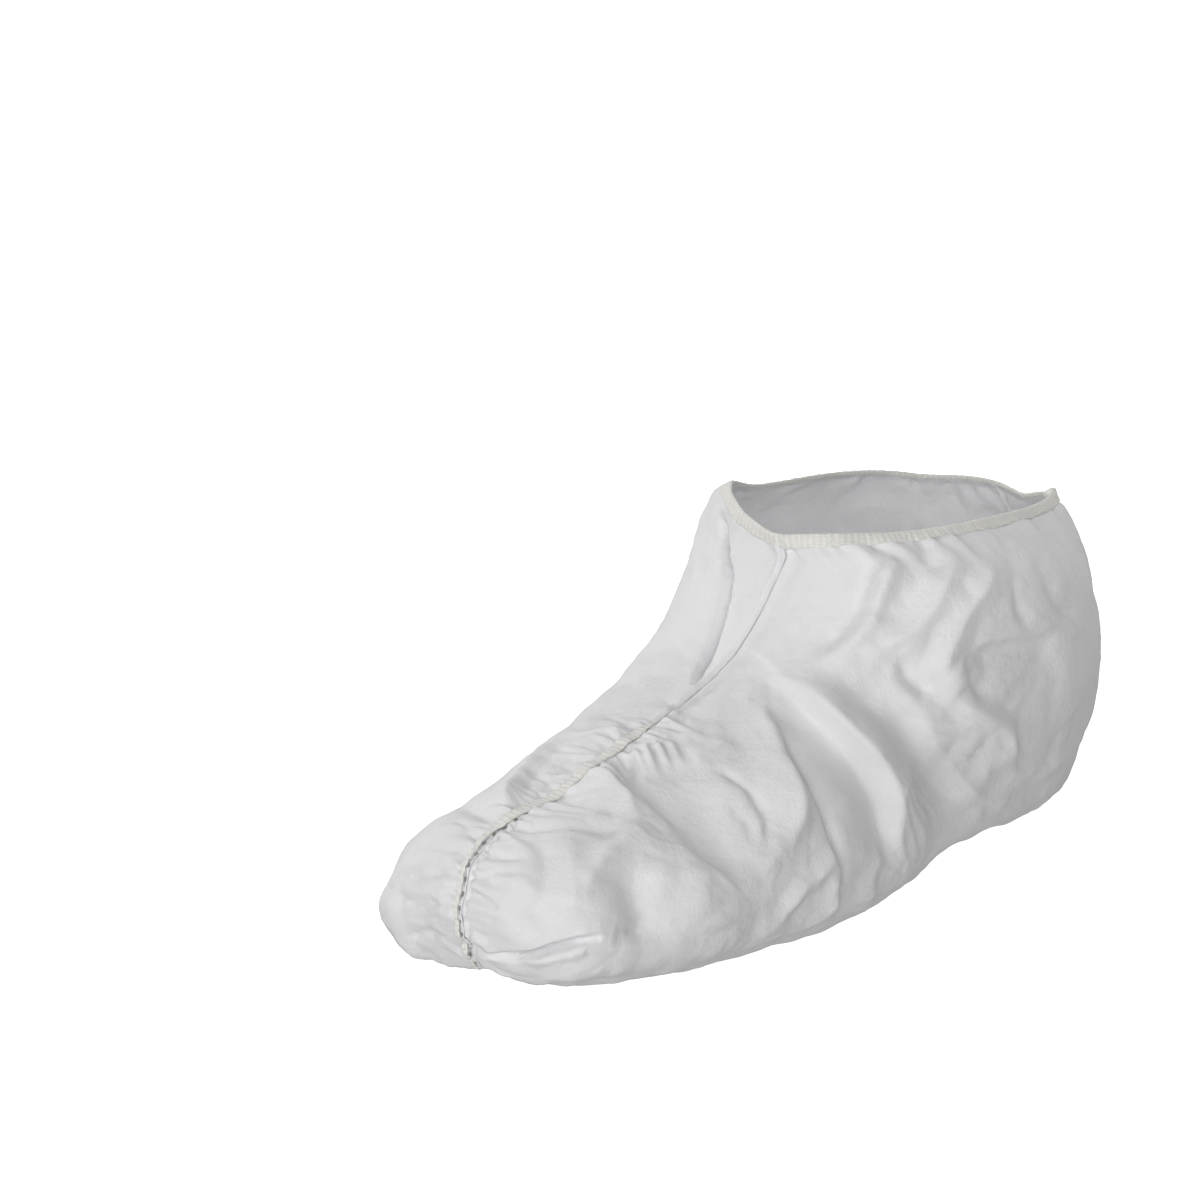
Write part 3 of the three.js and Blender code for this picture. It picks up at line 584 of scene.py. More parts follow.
MIDDLE = 5.0  # section position of the ring that the mesh columns are spread over
FRONT_COLUMN, SIDE_GAIN, SOLE_LOSS = 0.4, 0.9, 0.6  # relative widths of the columns
FRONT_BAND, SOLE_BAND = (0, 0.22), (0.84, 1)  # shares of the columns over which they change
HALF_GAP = 0.15  # half of the gap between the panels, in millimetres


def row_positions(count):
    """Section positions of the mesh rows, evenly spread between the front seam and the heel."""
    samples = np.linspace(0, TIP - 0.02, 600)
    length = np.zeros(len(samples))
    for angle in (0.0, math.pi):
        run = run_along(form_point(samples, angle))
        length += run / run[-1]
    return np.interp(np.linspace(0, length[-1], count), length, samples)


def column_angles(count):
    """Ring angles of the mesh columns, closest together at the front seam, then at the sole's."""
    angles = math.pi * (1 - np.cos(np.linspace(0, math.pi, 2000))) / 2
    length = run_along(form_point(MIDDLE, angles))
    t = np.linspace(0, 1, count - 1)
    wider = SIDE_GAIN * smoothstep(t, *FRONT_BAND)
    width = FRONT_COLUMN + wider - SOLE_LOSS * smoothstep(t, *SOLE_BAND)
    place = np.concatenate([[0], np.cumsum(width)])
    return np.interp(place / place[-1] * length[-1], length, angles)


def to_frame(points, panel=0):
    """Millimetres from the form's origin to metres in the CAD frame, with the seam's gap."""
    shift = np.array([0, panel * HALF_GAP, 0])
    return (points - ORIGIN + shift) * MM


def mesh_object(name, points, faces, material, uv=None):
    """A smooth mesh object at the origin."""
    mesh = bpy.data.meshes.new(name)
    mesh.from_pydata(points.tolist(), [], faces)
    mesh.materials.append(material)
    mesh.shade_smooth()
    if uv is not None:
        layer = mesh.uv_layers.new(name="cloth")
        loops = np.empty(len(mesh.loops), int)
        mesh.loops.foreach_get("vertex_index", loops)
        layer.data.foreach_set("uv", uv[loops].ravel())
    mesh.update()
    piece = bpy.data.objects.new(name, mesh)
    bpy.context.scene.collection.objects.link(piece)
    return piece


def apply_modifiers(piece):
    """Makes the evaluated object's shape its own plain mesh."""
    bpy.context.view_layer.update()
    evaluated = piece.evaluated_get(bpy.context.evaluated_depsgraph_get())
    mesh = bpy.data.meshes.new_from_object(evaluated)
    piece.modifiers.clear()
    piece.data = mesh
    mesh.name = piece.name
    return piece


def grid_faces(rows, columns, flip):
    """Quads of a grid whose points are numbered row by row."""
    first = (np.arange(rows - 1)[:, None] * columns + np.arange(columns - 1)).ravel()
    corners = [first, first + columns, first + columns + 1, first + 1]
    return np.stack(corners[::-1] if flip else corners, axis=1).tolist()


def build_panel(name, panel, material):
    """One side panel, closed at the tip and given the cloth's thickness."""
    cloth, _, _ = settings()
    positions = row_positions(cloth.rows)
    angles = panel * column_angles(cloth.columns)
    surface = Cloth().point(positions[:, None], angles[None, :], panel)
    tip = form_point(np.array([float(TIP)]), np.array([0.0]))
    points = np.vstack([surface.reshape(-1, 3), tip])
    faces = grid_faces(cloth.rows, cloth.columns, panel < 0)
    last, end = (cloth.rows - 1) * cloth.columns, len(points) - 1
    for column in range(cloth.columns - 1):
        corner = [last + column, end, last + column + 1]
        faces.append(corner[::-1] if panel < 0 else corner)
    piece = mesh_object(name, to_frame(points, panel), faces, material)
    solidify = piece.modifiers.new("Thickness", "SOLIDIFY")
    solidify.thickness = cloth.thickness
    solidify.offset = -1
    return apply_modifiers(piece)


# ---------------------------------------------------------------- node trees
class Value:
    """A node's output that can be used in Python arithmetic."""

    def __init__(self, tree, socket):
        self.tree, self.socket = tree, socket

    def math(self, operation, first, second):
        return self.tree.node("ShaderNodeMath", {"operation": operation}, [first, second])

    def __add__(self, other):
        return self.math("ADD", self, other)

    def __radd__(self, other):
        return self.math("ADD", other, self)

    def __sub__(self, other):
        return self.math("SUBTRACT", self, other)

    def __rsub__(self, other):
        return self.math("SUBTRACT", other, self)

    def __mul__(self, other):
        return self.math("MULTIPLY", self, other)

    def __rmul__(self, other):
        return self.math("MULTIPLY", other, self)


class Tree:
    """A node tree, built node by node."""

    def __init__(self, tree):
        self.nodes, self.links = tree.nodes, tree.links
        self.nodes.clear()

    def find(self, sockets, key):
        """The socket in use with this name, or with this number among those in use."""
        used = [socket for socket in sockets if socket.enabled]
        return used[key] if isinstance(key, int) else next(s for s in used if s.name == key)

    def node(self, kind, setup=(), inputs=(), output=0):
        """A node of any type: its settings, then the values or links of its sockets."""
        node = self.nodes.new(kind)
        for name, value in dict(setup).items():
            setattr(node, name, value)
        for key, value in inputs.items() if isinstance(inputs, dict) else enumerate(inputs):
            socket = self.find(node.inputs, key)
            if isinstance(value, Value):
                self.links.new(value.socket, socket)
            else:
                socket.default_value = value
        return Value(self, self.find(node.outputs, output)) if len(node.outputs) else node


class Shader(Tree):
    """A material and its node tree."""

    def __init__(self, name):
        self.material = bpy.data.materials.new(name)
        self.material.use_nodes = True
        super().__init__(self.material.node_tree)

    def place(self):
        """Object coordinates in metres."""
        return self.node("ShaderNodeTexCoord", output="Object")

    def cells(self, scale, detail=3.0, roughness=0.55):
        """Noise from 0 to 1, with features about 1 / scale metres across."""
        return self.node("ShaderNodeTexNoise", {}, {"Vector": self.place(), "Scale": scale,
                                                    "Detail": detail, "Roughness": roughness})

    def waves(self, direction, vector, scale, distortion, detail_scale=1.0):
        """Bands from 0 to 1 across a direction."""
        return self.node("ShaderNodeTexWave", {"bands_direction": direction},
                         {"Vector": vector, "Scale": scale, "Distortion": distortion,
                          "Detail": 2.0, "Detail Scale": detail_scale}, output="Fac")

    def blend(self, factor, first, second):
        """Mix of two colours."""
        return self.node("ShaderNodeMix", {"data_type": "RGBA"},
                         {"Factor": factor, "A": first, "B": second})

    def bump(self, height, strength, distance, **others):
        """Surface direction with small relief on it."""
        return self.node("ShaderNodeBump", {}, {"Strength": strength, "Distance": distance,
                                                "Height": height, **others})

    def finish(self, **inputs):
        """Principled surface with these socket values."""
        names = {name.replace("_", " ").title(): value for name, value in inputs.items()}
        surface = self.node("ShaderNodeBsdfPrincipled", {}, names)
        self.node("ShaderNodeOutputMaterial", {}, {"Surface": surface})
        return self.material


# ---------------------------------------------------------------- elastic
# Section of a hem 5.6 mm deep: how far below the rim and out from the cloth, in millimetres.
HEM_SECTION = [
    (-0.9, -0.2), (-0.7, 0.5), (0.0, 0.85), (0.9, 0.95), (1.9, 0.85), (2.7, 0.8), (3.3, 0.5),
    (3.8, 0.7), (4.3, 0.65), (4.7, 0.3), (4.5, -0.1), (3.2, -0.2), (1.7, -0.25), (1.4, -0.7),
    (0.7, -0.9), (-0.4, -0.8),
]
HEM_TURNS = 900  # sections of the hem round the ankle
HEM_ROW = 6  # corner of the section along which it is stitched
HEM_JOINT = 0.878  # place of the bulge where the elastic's ends overlap, as a share of the turns
JOINT_HALF, JOINT_SWELL, JOINT_RISE = 0.008, 2.2, 1.6  # its half length, and how far it stands out
HEM_SMOOTHING = 40  # rounds of smoothing of the rim's line
HEM_EDGE = (0, 4.7)  # from the rim to the hem's loose edge, in millimetres
EDGE_PUCKER, EDGE_WANDER, EDGE_CURL = 0.35, 0.3, 0.15  # waves of its loose edge, in millimetres
HEM_PLUMP = 0.18  # how much its puckers swell it
PUCKER_WAVES, WANDER_WAVES, CURL_WAVES = (55, 120), (6, 30), (60, 140)  # how many go round the hem


def hem_frames(cloth, angles):
    """Points of the rim with the directions down the cloth and out from it."""
    panel = np.where(angles >= 0, LEFT, RIGHT)
    rim, lower = np.empty((len(angles), 3)), np.empty((len(angles), 3))
    for side in (LEFT, RIGHT):
        here = panel == side
        rim[here] = cloth.point(0.0, angles[here], side)
        lower[here] = cloth.point(0.3, angles[here], side)
    down = unit(lower - rim)
    for _ in range(HEM_SMOOTHING):
        down = unit(np.roll(down, -1, 0) + 2 * down + np.roll(down, 1, 0))
        rim = 0.25 * (np.roll(rim, -1, 0) + 2 * rim + np.roll(rim, 1, 0))
    along = np.roll(rim, -1, 0) - np.roll(rim, 1, 0)
    out = unit(np.cross(down, along))
    return rim, unit(np.cross(along, out)), out


def ring_faces(turns, corners):
    """Quads round a closed ring of closed sections."""
    faces = []
    for turn in range(turns):
        here, there = turn * corners, (turn + 1) % turns * corners
        for corner in range(corners):
            after = (corner + 1) % corners
            faces.append([here + corner, here + after, there + after, there + corner])
    return faces


def build_hem(material):
    """The ruched elastic hem, folded over the rim, with the places and directions of its stitches."""
    _, elastic, _ = settings()
    share = (np.arange(HEM_TURNS) + 0.5) / HEM_TURNS
    angles = math.pi * (2 * share - 1)
    rim, down, out = hem_frames(Cloth(), angles)
    section = np.array(HEM_SECTION)
    section[:, 0] *= elastic.hem_depth / MM / np.ptp(section[:, 0])
    pucker = ripple(share, *PUCKER_WAVES, 3)
    wander = ripple(share, *WANDER_WAVES, 4)
    low = smoothstep(section[:, 0], *HEM_EDGE)[None, :]
    depth = section[None, :, 0] + low * (EDGE_PUCKER * pucker + EDGE_WANDER * wander)[:, None]
    joint = bump(share - HEM_JOINT, JOINT_HALF, 3)[:, None]
    swell = 1 + HEM_PLUMP * pucker[:, None] * (1 - 0.5 * low) + JOINT_SWELL * joint
    depth -= JOINT_RISE * joint
    curl = EDGE_CURL * low * ripple(share, *CURL_WAVES, 5)[:, None]
    width = section[None, :, 1] * swell + curl
    points = rim[:, None] + depth[..., None] * down[:, None] + width[..., None] * out[:, None]
    faces = ring_faces(HEM_TURNS, len(section))
    run = np.cumsum(np.linalg.norm(np.diff(rim, axis=0, prepend=rim[:1]), axis=1))
    around = np.cumsum(np.linalg.norm(np.diff(section, axis=0, prepend=section[:1]), axis=1))
    uv = np.stack(np.broadcast_arrays(run[:, None], around[None, :]), axis=-1).reshape(-1, 2) * MM
    piece = mesh_object("hem", to_frame(points.reshape(-1, 3)), faces, material, uv)
    row = np.vstack([points[:, HEM_ROW], points[:1, HEM_ROW]])
    return outward(piece), (row, np.vstack([out, out[:1]]))


def outward(piece):
    """Turns a closed mesh's faces outwards."""
    mesh = bmesh.new()
    mesh.from_mesh(piece.data)
    bmesh.ops.recalc_face_normals(mesh, faces=mesh.faces)
    mesh.to_mesh(piece.data)
    mesh.free()
    return piece


TAPE_THICKNESS = 0.9  # millimetres
TAPE_LIFT = 0.35  # height of the tape's edges above the cloth, in millimetres
TAPE_LANES = 11  # points across the tape
TAPE_ABOVE, TAPE_BELOW = 240, 60  # points of the seam's line that it follows, above and below the toe
TAPE_SMOOTHING = 6  # rounds of smoothing of its line
TAPE_NARROW = (6.9, 7.7)  # section positions between which the tape narrows towards the toe
TAPE_NARROWING = 0.55  # share of its width that it loses there
TAPE_FLARE = (0, 9)  # run over which the tape widens from its tucked start, in millimetres
TAPE_TUCK = 0.25  # width of its start, as a share of the full width
TAPE_WAISTS = ((31, 0.25), (47, 0.2))  # places where it is pinched, in millimetres, and by how much
TAPE_ROUND = 0.35  # how much thinner it is at its edges
TAPE_RIB, RIB_HEIGHT = 1.6, 0.05  # pitch and height of its ribs, in millimetres
EDGE_RUFFLE, TAPE_RUFFLE = 0.3, 0.12  # waves of its edges and of its height, in millimetres
EDGE_WAVES, TAPE_WAVES = (30, 80), (20, 60)  # how many of them go along the tape
TAPE_SHIFT = 2.6  # how far the tape lies over the right panel on the toe, in millimetres
SHIFT_START, SHIFT_END = 6.4, 7.4  # section positions between which it moves over
TACK_ROWS = (2, 5, 8, 11)  # sections of the tape across which its end is tacked down
PIT_SHADOW_START = 6.6  # section position from which dark spots of painted shade mark the seam's gaping needle holes
PIT_SHADOW_AWAY, PIT_SHADOW_LIFT = 0.45, 0.1  # their distance from the tape's edge, and height, in millimetres
PIT_SHADOW_STOP = 12  # run left free of the spots of painted shade at the tape's end, in millimetres


def tape_path(cloth, step=0.7):
    """Centre line of the tape with its normals, evenly spaced, and the section position."""
    front = np.linspace(TAPE_START, TIP - 0.05, TAPE_ABOVE)
    below = np.linspace(TIP - 0.05, TAPE_END, TAPE_BELOW)
    line = np.vstack([cloth.point(front, 0.0, LEFT), cloth.point(below, math.pi, LEFT)])
    normal = np.vstack([form_normal(front, 0.0), form_normal(below, math.pi)])
    position = np.concatenate([front, below])
    for _ in range(TAPE_SMOOTHING):
        line[1:-1] = 0.25 * line[:-2] + 0.5 * line[1:-1] + 0.25 * line[2:]
        normal[1:-1] = unit(normal[:-2] + normal[1:-1] + normal[2:])
    run = run_along(line)
    at = np.arange(0, run[-1], step)
    line = np.stack([np.interp(at, run, line[:, axis]) for axis in range(3)], axis=1)
    normal = unit(np.stack([np.interp(at, run, normal[:, axis]) for axis in range(3)], axis=1))
    return line, normal, np.interp(at, run, position), at


def tape_half_width(run, position):
    """Half of the tape's width along it, in millimetres."""
    _, elastic, _ = settings()
    half = 0.5 * elastic.tape_width / MM * (1 - TAPE_NARROWING * smoothstep(position, *TAPE_NARROW))
    waist = sum(depth * bump(run - at, 4) for at, depth in TAPE_WAISTS)
    return half * (TAPE_TUCK + (1 - TAPE_TUCK) * smoothstep(run, *TAPE_FLARE) - waist)


def build_tape(material):
    """The stretched tape over the gathered seam, the lines of its stitches, and the places for spots of
    painted shade beside it.
    """
    line, normal, position, run = tape_path(Cloth())
    share = run / run[-1]
    tangent = unit(np.gradient(line, axis=0))
    across = unit(np.cross(normal, tangent))
    half = tape_half_width(run, position)
    line = line - TAPE_SHIFT * smoothstep(position, SHIFT_START, SHIFT_END)[:, None] * across
    lanes = np.linspace(-1, 1, TAPE_LANES)
    edge = EDGE_RUFFLE * ripple(share, *EDGE_WAVES, 11)[:, None] * lanes[None, :] ** 3
    side = half[:, None] * lanes[None, :] + edge
    crown = TAPE_THICKNESS * (1 - TAPE_ROUND * np.abs(lanes) ** 6) + TAPE_LIFT
    ribs = RIB_HEIGHT * np.cos(2 * math.pi * run / TAPE_RIB)
    ruffle = TAPE_RUFFLE * ripple(share, *TAPE_WAVES, 12)
    lift = crown[None, :] + (ribs + ruffle)[:, None]
    points = line[:, None] + side[..., None] * across[:, None] + lift[..., None] * normal[:, None]
    uv = np.stack(np.broadcast_arrays(run[:, None], side), axis=-1).reshape(-1, 2) * MM
    faces = grid_faces(len(run), TAPE_LANES, False)
    piece = mesh_object("toe_tape", to_frame(points.reshape(-1, 3)), faces, material, uv)
    solidify = piece.modifiers.new("Thickness", "SOLIDIFY")
    solidify.thickness = TAPE_THICKNESS * MM
    solidify.offset = -1
    rows = [(points[:, lane], normal) for lane in (1, TAPE_LANES - 2)]
    rows += [(points[at, 1:-1], normal[at] + 0 * points[at, 1:-1]) for at in TACK_ROWS]
    # Places for the dark spots of painted shade in the needle holes beside the tape's edge on the toe.
    beside = line + (half + PIT_SHADOW_AWAY)[:, None] * across + PIT_SHADOW_LIFT * normal
    on_toe = (position > PIT_SHADOW_START) & (run < run[-1] - PIT_SHADOW_STOP)
    return outward(apply_modifiers(piece)), rows, (beside[on_toe], normal[on_toe])


# Inputs of the node tree for stitches, and the sizes of each kind of stitch in millimetres.
STITCH_INPUTS = {
    "Pitch": ("NodeSocketFloat", 3 * MM),
    "Half Length": ("NodeSocketFloat", 1 * MM),
    "Radius": ("NodeSocketFloat", 0.25 * MM),
    "Variation": ("NodeSocketFloat", 0.35),
    "Seed": ("NodeSocketInt", 5),
}
STITCHES = {
    "hem_stitches": {"Pitch": 3.2, "Half Length": 1.1, "Radius": 0.24},
    "tape_stitches": {"Pitch": 3.4, "Half Length": 1.1, "Radius": 0.24},
    # The last row lays out dark spots of painted shade in the needle holes beside the tape, not stitches.
    "needle_holes": {"Pitch": 5.2, "Half Length": 1.3, "Radius": 0.6},
}


def line_object(name, lines):
    """Open chains of edges in the frame, with the direction away from the cloth at each point."""
    points = np.vstack([to_frame(line) for line, _ in lines])
    lifts = np.vstack([lift for _, lift in lines])
    edges, first = [], 0
    for line, _ in lines:
        edges += [(first + n, first + n + 1) for n in range(len(line) - 1)]
        first += len(line)
    mesh = bpy.data.meshes.new(name)
    mesh.from_pydata(points.tolist(), edges, [])
    mesh.attributes.new("lift", "FLOAT_VECTOR", "POINT").data.foreach_set("vector", lifts.ravel())
    piece = bpy.data.objects.new(name, mesh)
    bpy.context.scene.collection.objects.link(piece)
    return piece


def stitch_tree(material):
    """Node tree that sews a row of stitches along each chain of edges, and its inputs' names."""
    group = bpy.data.node_groups.new("stitches", "GeometryNodeTree")
    group.interface.new_socket("Geometry", in_out="INPUT", socket_type="NodeSocketGeometry")
    group.interface.new_socket("Geometry", in_out="OUTPUT", socket_type="NodeSocketGeometry")
    identifiers = {}
    for name, (kind, value) in STITCH_INPUTS.items():
        socket = group.interface.new_socket(name, in_out="INPUT", socket_type=kind)
        socket.default_value = value
        identifiers[name] = socket.identifier
    tree = Tree(group)
    given = group.nodes.new("NodeGroupInput").outputs
    pitch, length, radius, variation, seed = (Value(tree, given[name]) for name in STITCH_INPUTS)
    curve = tree.node("GeometryNodeMeshToCurve", {}, {"Mesh": Value(tree, given["Geometry"])})
    points = tree.node("GeometryNodeResampleCurve", {"mode": "LENGTH"},
                       {"Curve": curve, "Length": pitch})
    along = tree.node("GeometryNodeInputTangent")
    lift = tree.node("GeometryNodeInputNamedAttribute", {"data_type": "FLOAT_VECTOR"},
                     {"Name": "lift"})
    turn = tree.node("FunctionNodeAxesToRotation", {"primary_axis": "X", "secondary_axis": "Z"},
                     {"Primary Axis": along, "Secondary Axis": lift})
    wobble = tree.node("FunctionNodeRandomValue", {"data_type": "FLOAT_VECTOR"},
                       {"Min": (-0.1, -0.1, -0.22), "Max": (0.1, 0.1, 0.22), "Seed": seed})
    twist = tree.node("FunctionNodeEulerToRotation", {}, {"Euler": wobble})
    turned = tree.node("FunctionNodeRotateRotation", {"rotation_space": "LOCAL"},
                       {"Rotation": turn, "Rotate By": twist})
    size = tree.node("ShaderNodeCombineXYZ", {}, {"X": length, "Y": radius, "Z": radius})
    factor = tree.node("FunctionNodeRandomValue", {"data_type": "FLOAT"},
                       {"Min": 1 - variation, "Seed": seed})
    scaled = tree.node("ShaderNodeVectorMath", {"operation": "SCALE"},
                       {"Vector": size, "Scale": factor})
    ball = tree.node("GeometryNodeMeshUVSphere", {}, {"Segments": 6, "Rings": 6, "Radius": 1.0})
    stitches = tree.node("GeometryNodeInstanceOnPoints", {},
                         {"Points": points, "Instance": ball, "Rotation": turned, "Scale": scaled})
    real = tree.node("GeometryNodeRealizeInstances", {}, {"Geometry": stitches})
    smooth = tree.node("GeometryNodeSetShadeSmooth", {}, {"Geometry": real})
    finished = tree.node("GeometryNodeSetMaterial", {}, {"Geometry": smooth, "Material": material})
    tree.node("NodeGroupOutput", {}, {"Geometry": finished})
    return group, identifiers


def build_stitches(name, lines, material):
    """Stitches along lines, as a plain mesh."""
    piece = line_object(name, lines)
    group, identifiers = stitch_tree(material)
    modifier = piece.modifiers.new("Stitches", "NODES")
    modifier.node_group = group
    for key, size in STITCHES[name].items():
        modifier[identifiers[key]] = size * MM
    apply_modifiers(piece)
    piece.data.materials.clear()
    piece.data.materials.append(material)
    return piece


# ---------------------------------------------------------------- materials
def rgba(colour, factor=1.0):
    """Four colour values from three, made lighter or darker."""
    return tuple(min(1.0, c * factor) for c in colour) + (1.0,)


def nonwoven_material():
    """Matte bonded-fibre cloth: fine fibre grain, small bond points and faint cloudy tone."""
    cloth, _, _ = settings()
    shader = Shader("bonded_nonwoven")
    cloud = shader.cells(60, 4)
    fibre = shader.cells(1400, 4, 0.7)
    tone = cloud * 0.6 + fibre * 0.4
    colour = shader.blend(tone, rgba(cloth.colour, 0.95), rgba(cloth.colour, 1.05))
    bonds = shader.node("ShaderNodeTexVoronoi", {"feature": "F1"},
                        {"Vector": shader.place(), "Scale": 620.0, "Randomness": 0.35})
    dimple = shader.bump(bonds, 0.12, 0.0004)
    grain = shader.bump(fibre, 0.25, 0.0005, Normal=dimple)
    normal = shader.bump(shader.cells(140, 5, 0.6), 0.3, 0.003, Normal=grain)
    return shader.finish(base_color=colour, roughness=0.72 + cloud * 0.2, normal=normal,
                         subsurface_weight=0.4, subsurface_radius=(1.0, 1.0, 1.0),
                         subsurface_scale=0.0015, sheen_weight=0.1, sheen_roughness=0.5)


def elastic_material():
    """Cream woven elastic: ribs across it and fine lines along it."""
    _, elastic, _ = settings()
    shader = Shader("cream_elastic")
    strip = shader.node("ShaderNodeUVMap", {"uv_map": "cloth"})
    ribs = shader.waves("X", strip, 130, 1.5, detail_scale=2)
    lines = shader.waves("Y", strip, 320, 0.6)
    grain = shader.cells(900, 4, 0.7)
    colour = shader.blend(ribs * 0.5 + grain * 0.5, rgba(elastic.colour, 0.9), rgba(elastic.colour, 1.06))
    height = ribs * 0.6 + lines * 0.4 + grain * 0.5
    normal = shader.bump(height, 0.5, 0.0006)
    return shader.finish(base_color=colour, roughness=0.75 + grain * 0.15, normal=normal,
                         sheen_weight=0.15, sheen_roughness=0.5)


def thread_material():
    """Matte sewing thread with a fine twist."""
    _, elastic, _ = settings()
    shader = Shader("sewing_thread")
    twist = shader.waves("DIAGONAL", shader.place(), 900, 0.5)
    colour = shader.blend(twist, rgba(elastic.colour, 0.9), rgba(elastic.colour, 1.12))
    normal = shader.bump(twist, 0.4, 0.0003)
    return shader.finish(base_color=colour, roughness=0.7 + twist * 0.1, normal=normal)


def pit_shadow_material():
    """Painted shade: dark colour for the spots that stand in for the shadow in a needle hole and in the
    gap between puckers beside the tape.
    """
    shader = Shader("needle_hole")
    shade = shader.cells(900)
    colour = shader.blend(shade, (0.16, 0.15, 0.14, 1), (0.3, 0.29, 0.28, 1))
    return shader.finish(base_color=colour, roughness=0.95)


# ---------------------------------------------------------------- stage
CAMERA_AZIMUTH = math.radians(50.5)
CAMERA_ELEVATION = math.radians(16.5)
CAMERA_TARGET = np.array([60.0, 0.0, 65.0])
CAMERA_OFFSET = np.array([-63.3, 49.2, 1598.0]) * MM  # right, up and back from the target
CAMERA_LENS = 122.69
CAMERA_SENSOR = 36
FLOOR_SIDES = 64
FLOOR_DROP = 0.4 * MM  # gap between the floor and the cloth
FLOOR_SHINE = 0.95  # strength of the floor's own light, which keeps it pale from every side
FLOOR_RINGS = [(5, 0), (6, 0), (7, 0.1), (8, 0.6), (8.7, 1.4), (9, 2.5), (9, 12)]  # radius, height

# Soft lights: places to the right, up and back along the camera's axes, and sizes, in metres.
LIGHTS = {
    "key": ((-1.2, 0.1, 1.8), 1.0),
    "fill": ((0.1, 0.2, 2.2), 1.3),
    "top": ((0.0, 2.3, 0.2), 1.3),
    "right": ((1.4, 1.7, -1.2), 1.3),
    "left": ((-1.4, 1.4, -1.2), 1.3),
}
GLOW_PLACE, GLOW_RADIUS = (-0.08, 0, 0.08), 0.02  # the light inside the hollow, in metres


def camera_axes():
    """Right, up and back directions of the camera."""
    east, north = math.sin(CAMERA_AZIMUTH), math.cos(CAMERA_AZIMUTH)
    level, rise = math.cos(CAMERA_ELEVATION), math.sin(CAMERA_ELEVATION)
    back = np.array([east * level, north * level, rise])
    right = np.array([-north, east, 0.0])
    return np.stack([right, np.cross(back, right), back], axis=1)


def add_camera():
    """Camera at the viewing angle."""
    data = bpy.data.cameras.new("camera")
    data.lens = CAMERA_LENS
    data.sensor_width = CAMERA_SENSOR
    camera = bpy.data.objects.new("camera", data)
    axes = camera_axes()
    place = to_frame(CAMERA_TARGET) + axes @ CAMERA_OFFSET
    camera.matrix_world = Matrix.Translation(place) @ Matrix(axes.tolist()).to_4x4()
    bpy.context.scene.collection.objects.link(camera)
    bpy.context.scene.camera = camera


def add_light(name, kind, place, power, **extras):
    """A light that faces the object."""
    data = bpy.data.lights.new(name, kind)
    data.energy = power
    for key, value in extras.items():
        setattr(data, key, value)
    light = bpy.data.objects.new(name, data)
    light.location = place
    light.rotation_euler = Vector(place).to_track_quat("Z", "Y").to_euler()
    bpy.context.scene.collection.objects.link(light)
    return light


def add_floor():
    """Plain pale floor that curves up far away into a wall, as in a photographer's studio."""
    _, _, stage = settings()
    shader = Shader("floor")
    material = shader.finish(base_color=rgba(stage.floor_colour), roughness=0.9,
                             emission_color=(1, 1, 1, 1), emission_strength=FLOOR_SHINE)
    angles = np.linspace(0, 2 * math.pi, FLOOR_SIDES, endpoint=False)
    circle = np.stack([np.cos(angles), np.sin(angles), np.ones(FLOOR_SIDES)], axis=1)
    rings = [circle * (radius, radius, height) for radius, height in FLOOR_RINGS]
    points = np.vstack([*rings, np.zeros((1, 3))]) - (0, 0, FLOOR_DROP)
    faces, middle = [], len(points) - 1
    for side in range(FLOOR_SIDES):
        after = (side + 1) % FLOOR_SIDES
        faces.append([middle, side, after])
        for first in range(0, middle - FLOOR_SIDES, FLOOR_SIDES):
            outer = first + FLOOR_SIDES
            faces.append([first + side, outer + side, outer + after, first + after])
    floor = mesh_object("floor", points, faces, material)
    floor.visible_diffuse = floor.visible_glossy = floor.visible_shadow = False


def add_lights():
    """The large soft lights round the object, and a small one in the middle of its hollow for the
    light that comes through the cloth."""
    _, _, stage = settings()
    axes = camera_axes()
    for name, (place, size) in LIGHTS.items():
        add_light(name, "AREA", axes @ np.array(place), getattr(stage, name), shape="DISK", size=size)
    glow = add_light("glow", "POINT", GLOW_PLACE, stage.glow, shadow_soft_size=GLOW_RADIUS)
    glow.visible_camera = False


def add_world():
    """Soft light from all round, strongest from the floor."""
    _, _, stage = settings()
    world = bpy.data.worlds.new("studio")
    world.use_nodes = True
    tree = Tree(world.node_tree)
    direction = tree.node("ShaderNodeTexCoord", output="Generated")
    height = tree.node("ShaderNodeSeparateXYZ", {}, [direction], output="Z")
    strength = tree.node("ShaderNodeMapRange", {}, {"Value": height, "From Min": -1,
                                                    "To Min": stage.bounce, "To Max": stage.ambient})
    light = tree.node("ShaderNodeBackground", {}, {"Color": (1, 1, 1, 1), "Strength": strength})
    tree.node("ShaderNodeOutputWorld", {}, {"Surface": light})
    bpy.context.scene.world = world


def build_stage():
    """Floor, world, lights and camera."""
    add_floor()
    add_world()
    add_lights()
    add_camera()
    bpy.context.scene.view_settings.view_transform = "Standard"


# ---------------------------------------------------------------- operators
def settle(piece, slot, *nodes):
    """Ties a finished piece to the frame."""
    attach(piece, "root")
    if nodes:
        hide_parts(*nodes)
    return piece


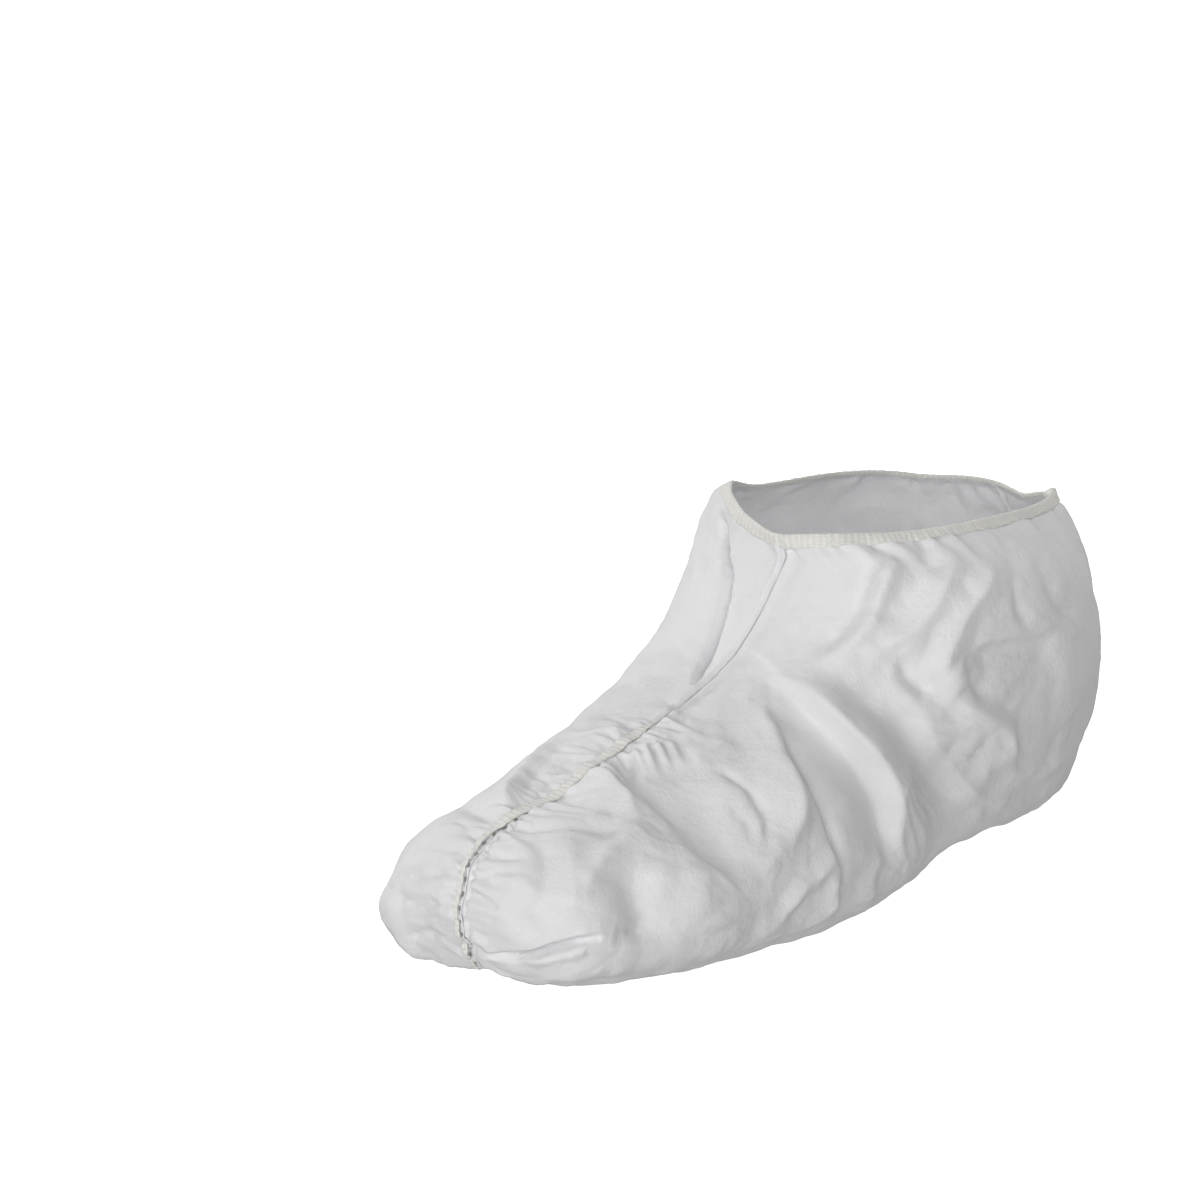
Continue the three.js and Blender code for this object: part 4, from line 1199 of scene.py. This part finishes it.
class SHOECOVER_OT_elastic(bpy.types.Operator):
    """Build the ankle hem, the toe tape and their stitches"""

    bl_idname = "shoecover.elastic"
    bl_label = "Hem, tape and stitches"

    def execute(self, context):
        material, thread = elastic_material(), thread_material()
        hem, ring = build_hem(material)
        settle(hem, "elastic", "ankle_elastic")
        tape, rows, pit_shadows = build_tape(material)
        settle(tape, "elastic", "toe_elastic")
        for name, lines, finish in (("hem_stitches", [ring], thread),
                                    ("tape_stitches", rows, thread),
                                    # Dark spots of painted shade in the needle holes beside the tape,
                                    # laid out by the stitch tree.
                                    ("needle_holes", [pit_shadows], pit_shadow_material())):
            settle(build_stitches(name, lines, finish), "elastic")
        return {"FINISHED"}


class SHOECOVER_OT_panels(bpy.types.Operator):
    """Build the two side panels"""

    bl_idname = "shoecover.panels"
    bl_label = "Side panels"

    def execute(self, context):
        material = nonwoven_material()
        for name, node, panel in (("panel_left", "side_panel_left", LEFT),
                                  ("panel_right", "side_panel_right", RIGHT)):
            piece = settle(build_panel(name, panel, material), "nonwoven_cloth", node)
        return {"FINISHED"}


class SHOECOVER_OT_stage(bpy.types.Operator):
    """Add the floor, the lights and the camera"""

    bl_idname = "shoecover.stage"
    bl_label = "Floor, lights and camera"

    def execute(self, context):
        build_stage()
        return {"FINISHED"}


class SHOECOVER_PT_sidebar(bpy.types.Panel):
    """Lists the steps that build the shoe cover"""

    bl_label = "Shoe cover"
    bl_space_type = "VIEW_3D"
    bl_region_type = "UI"
    bl_category = "Shoe cover"

    def draw(self, context):
        for operator in OPERATORS:
            self.layout.operator(operator.bl_idname)
        for group in settings():
            box = self.layout.box()
            for name in group.__annotations__:
                box.prop(group, name)


GROUPS = {
    "shoe_cover_cloth": ShoeCoverCloth,
    "shoe_cover_elastic": ShoeCoverElastic,
    "shoe_cover_stage": ShoeCoverStage,
}
OPERATORS = (SHOECOVER_OT_elastic, SHOECOVER_OT_panels, SHOECOVER_OT_stage)


def register():
    """Register the classes and the scene's settings."""
    for cls in (*GROUPS.values(), *OPERATORS, SHOECOVER_PT_sidebar):
        bpy.utils.register_class(cls)
    for name, group in GROUPS.items():
        setattr(bpy.types.Scene, name, PointerProperty(type=group))


def unregister():
    """Undo register."""
    for name in GROUPS:
        delattr(bpy.types.Scene, name)
    for cls in reversed((*GROUPS.values(), *OPERATORS, SHOECOVER_PT_sidebar)):
        bpy.utils.unregister_class(cls)


def main():
    """Build the whole scene."""
    register()
    for operator in OPERATORS:
        category, name = operator.bl_idname.split(".")
        getattr(getattr(bpy.ops, category), name)()


if __name__ == "__main__":
    main()
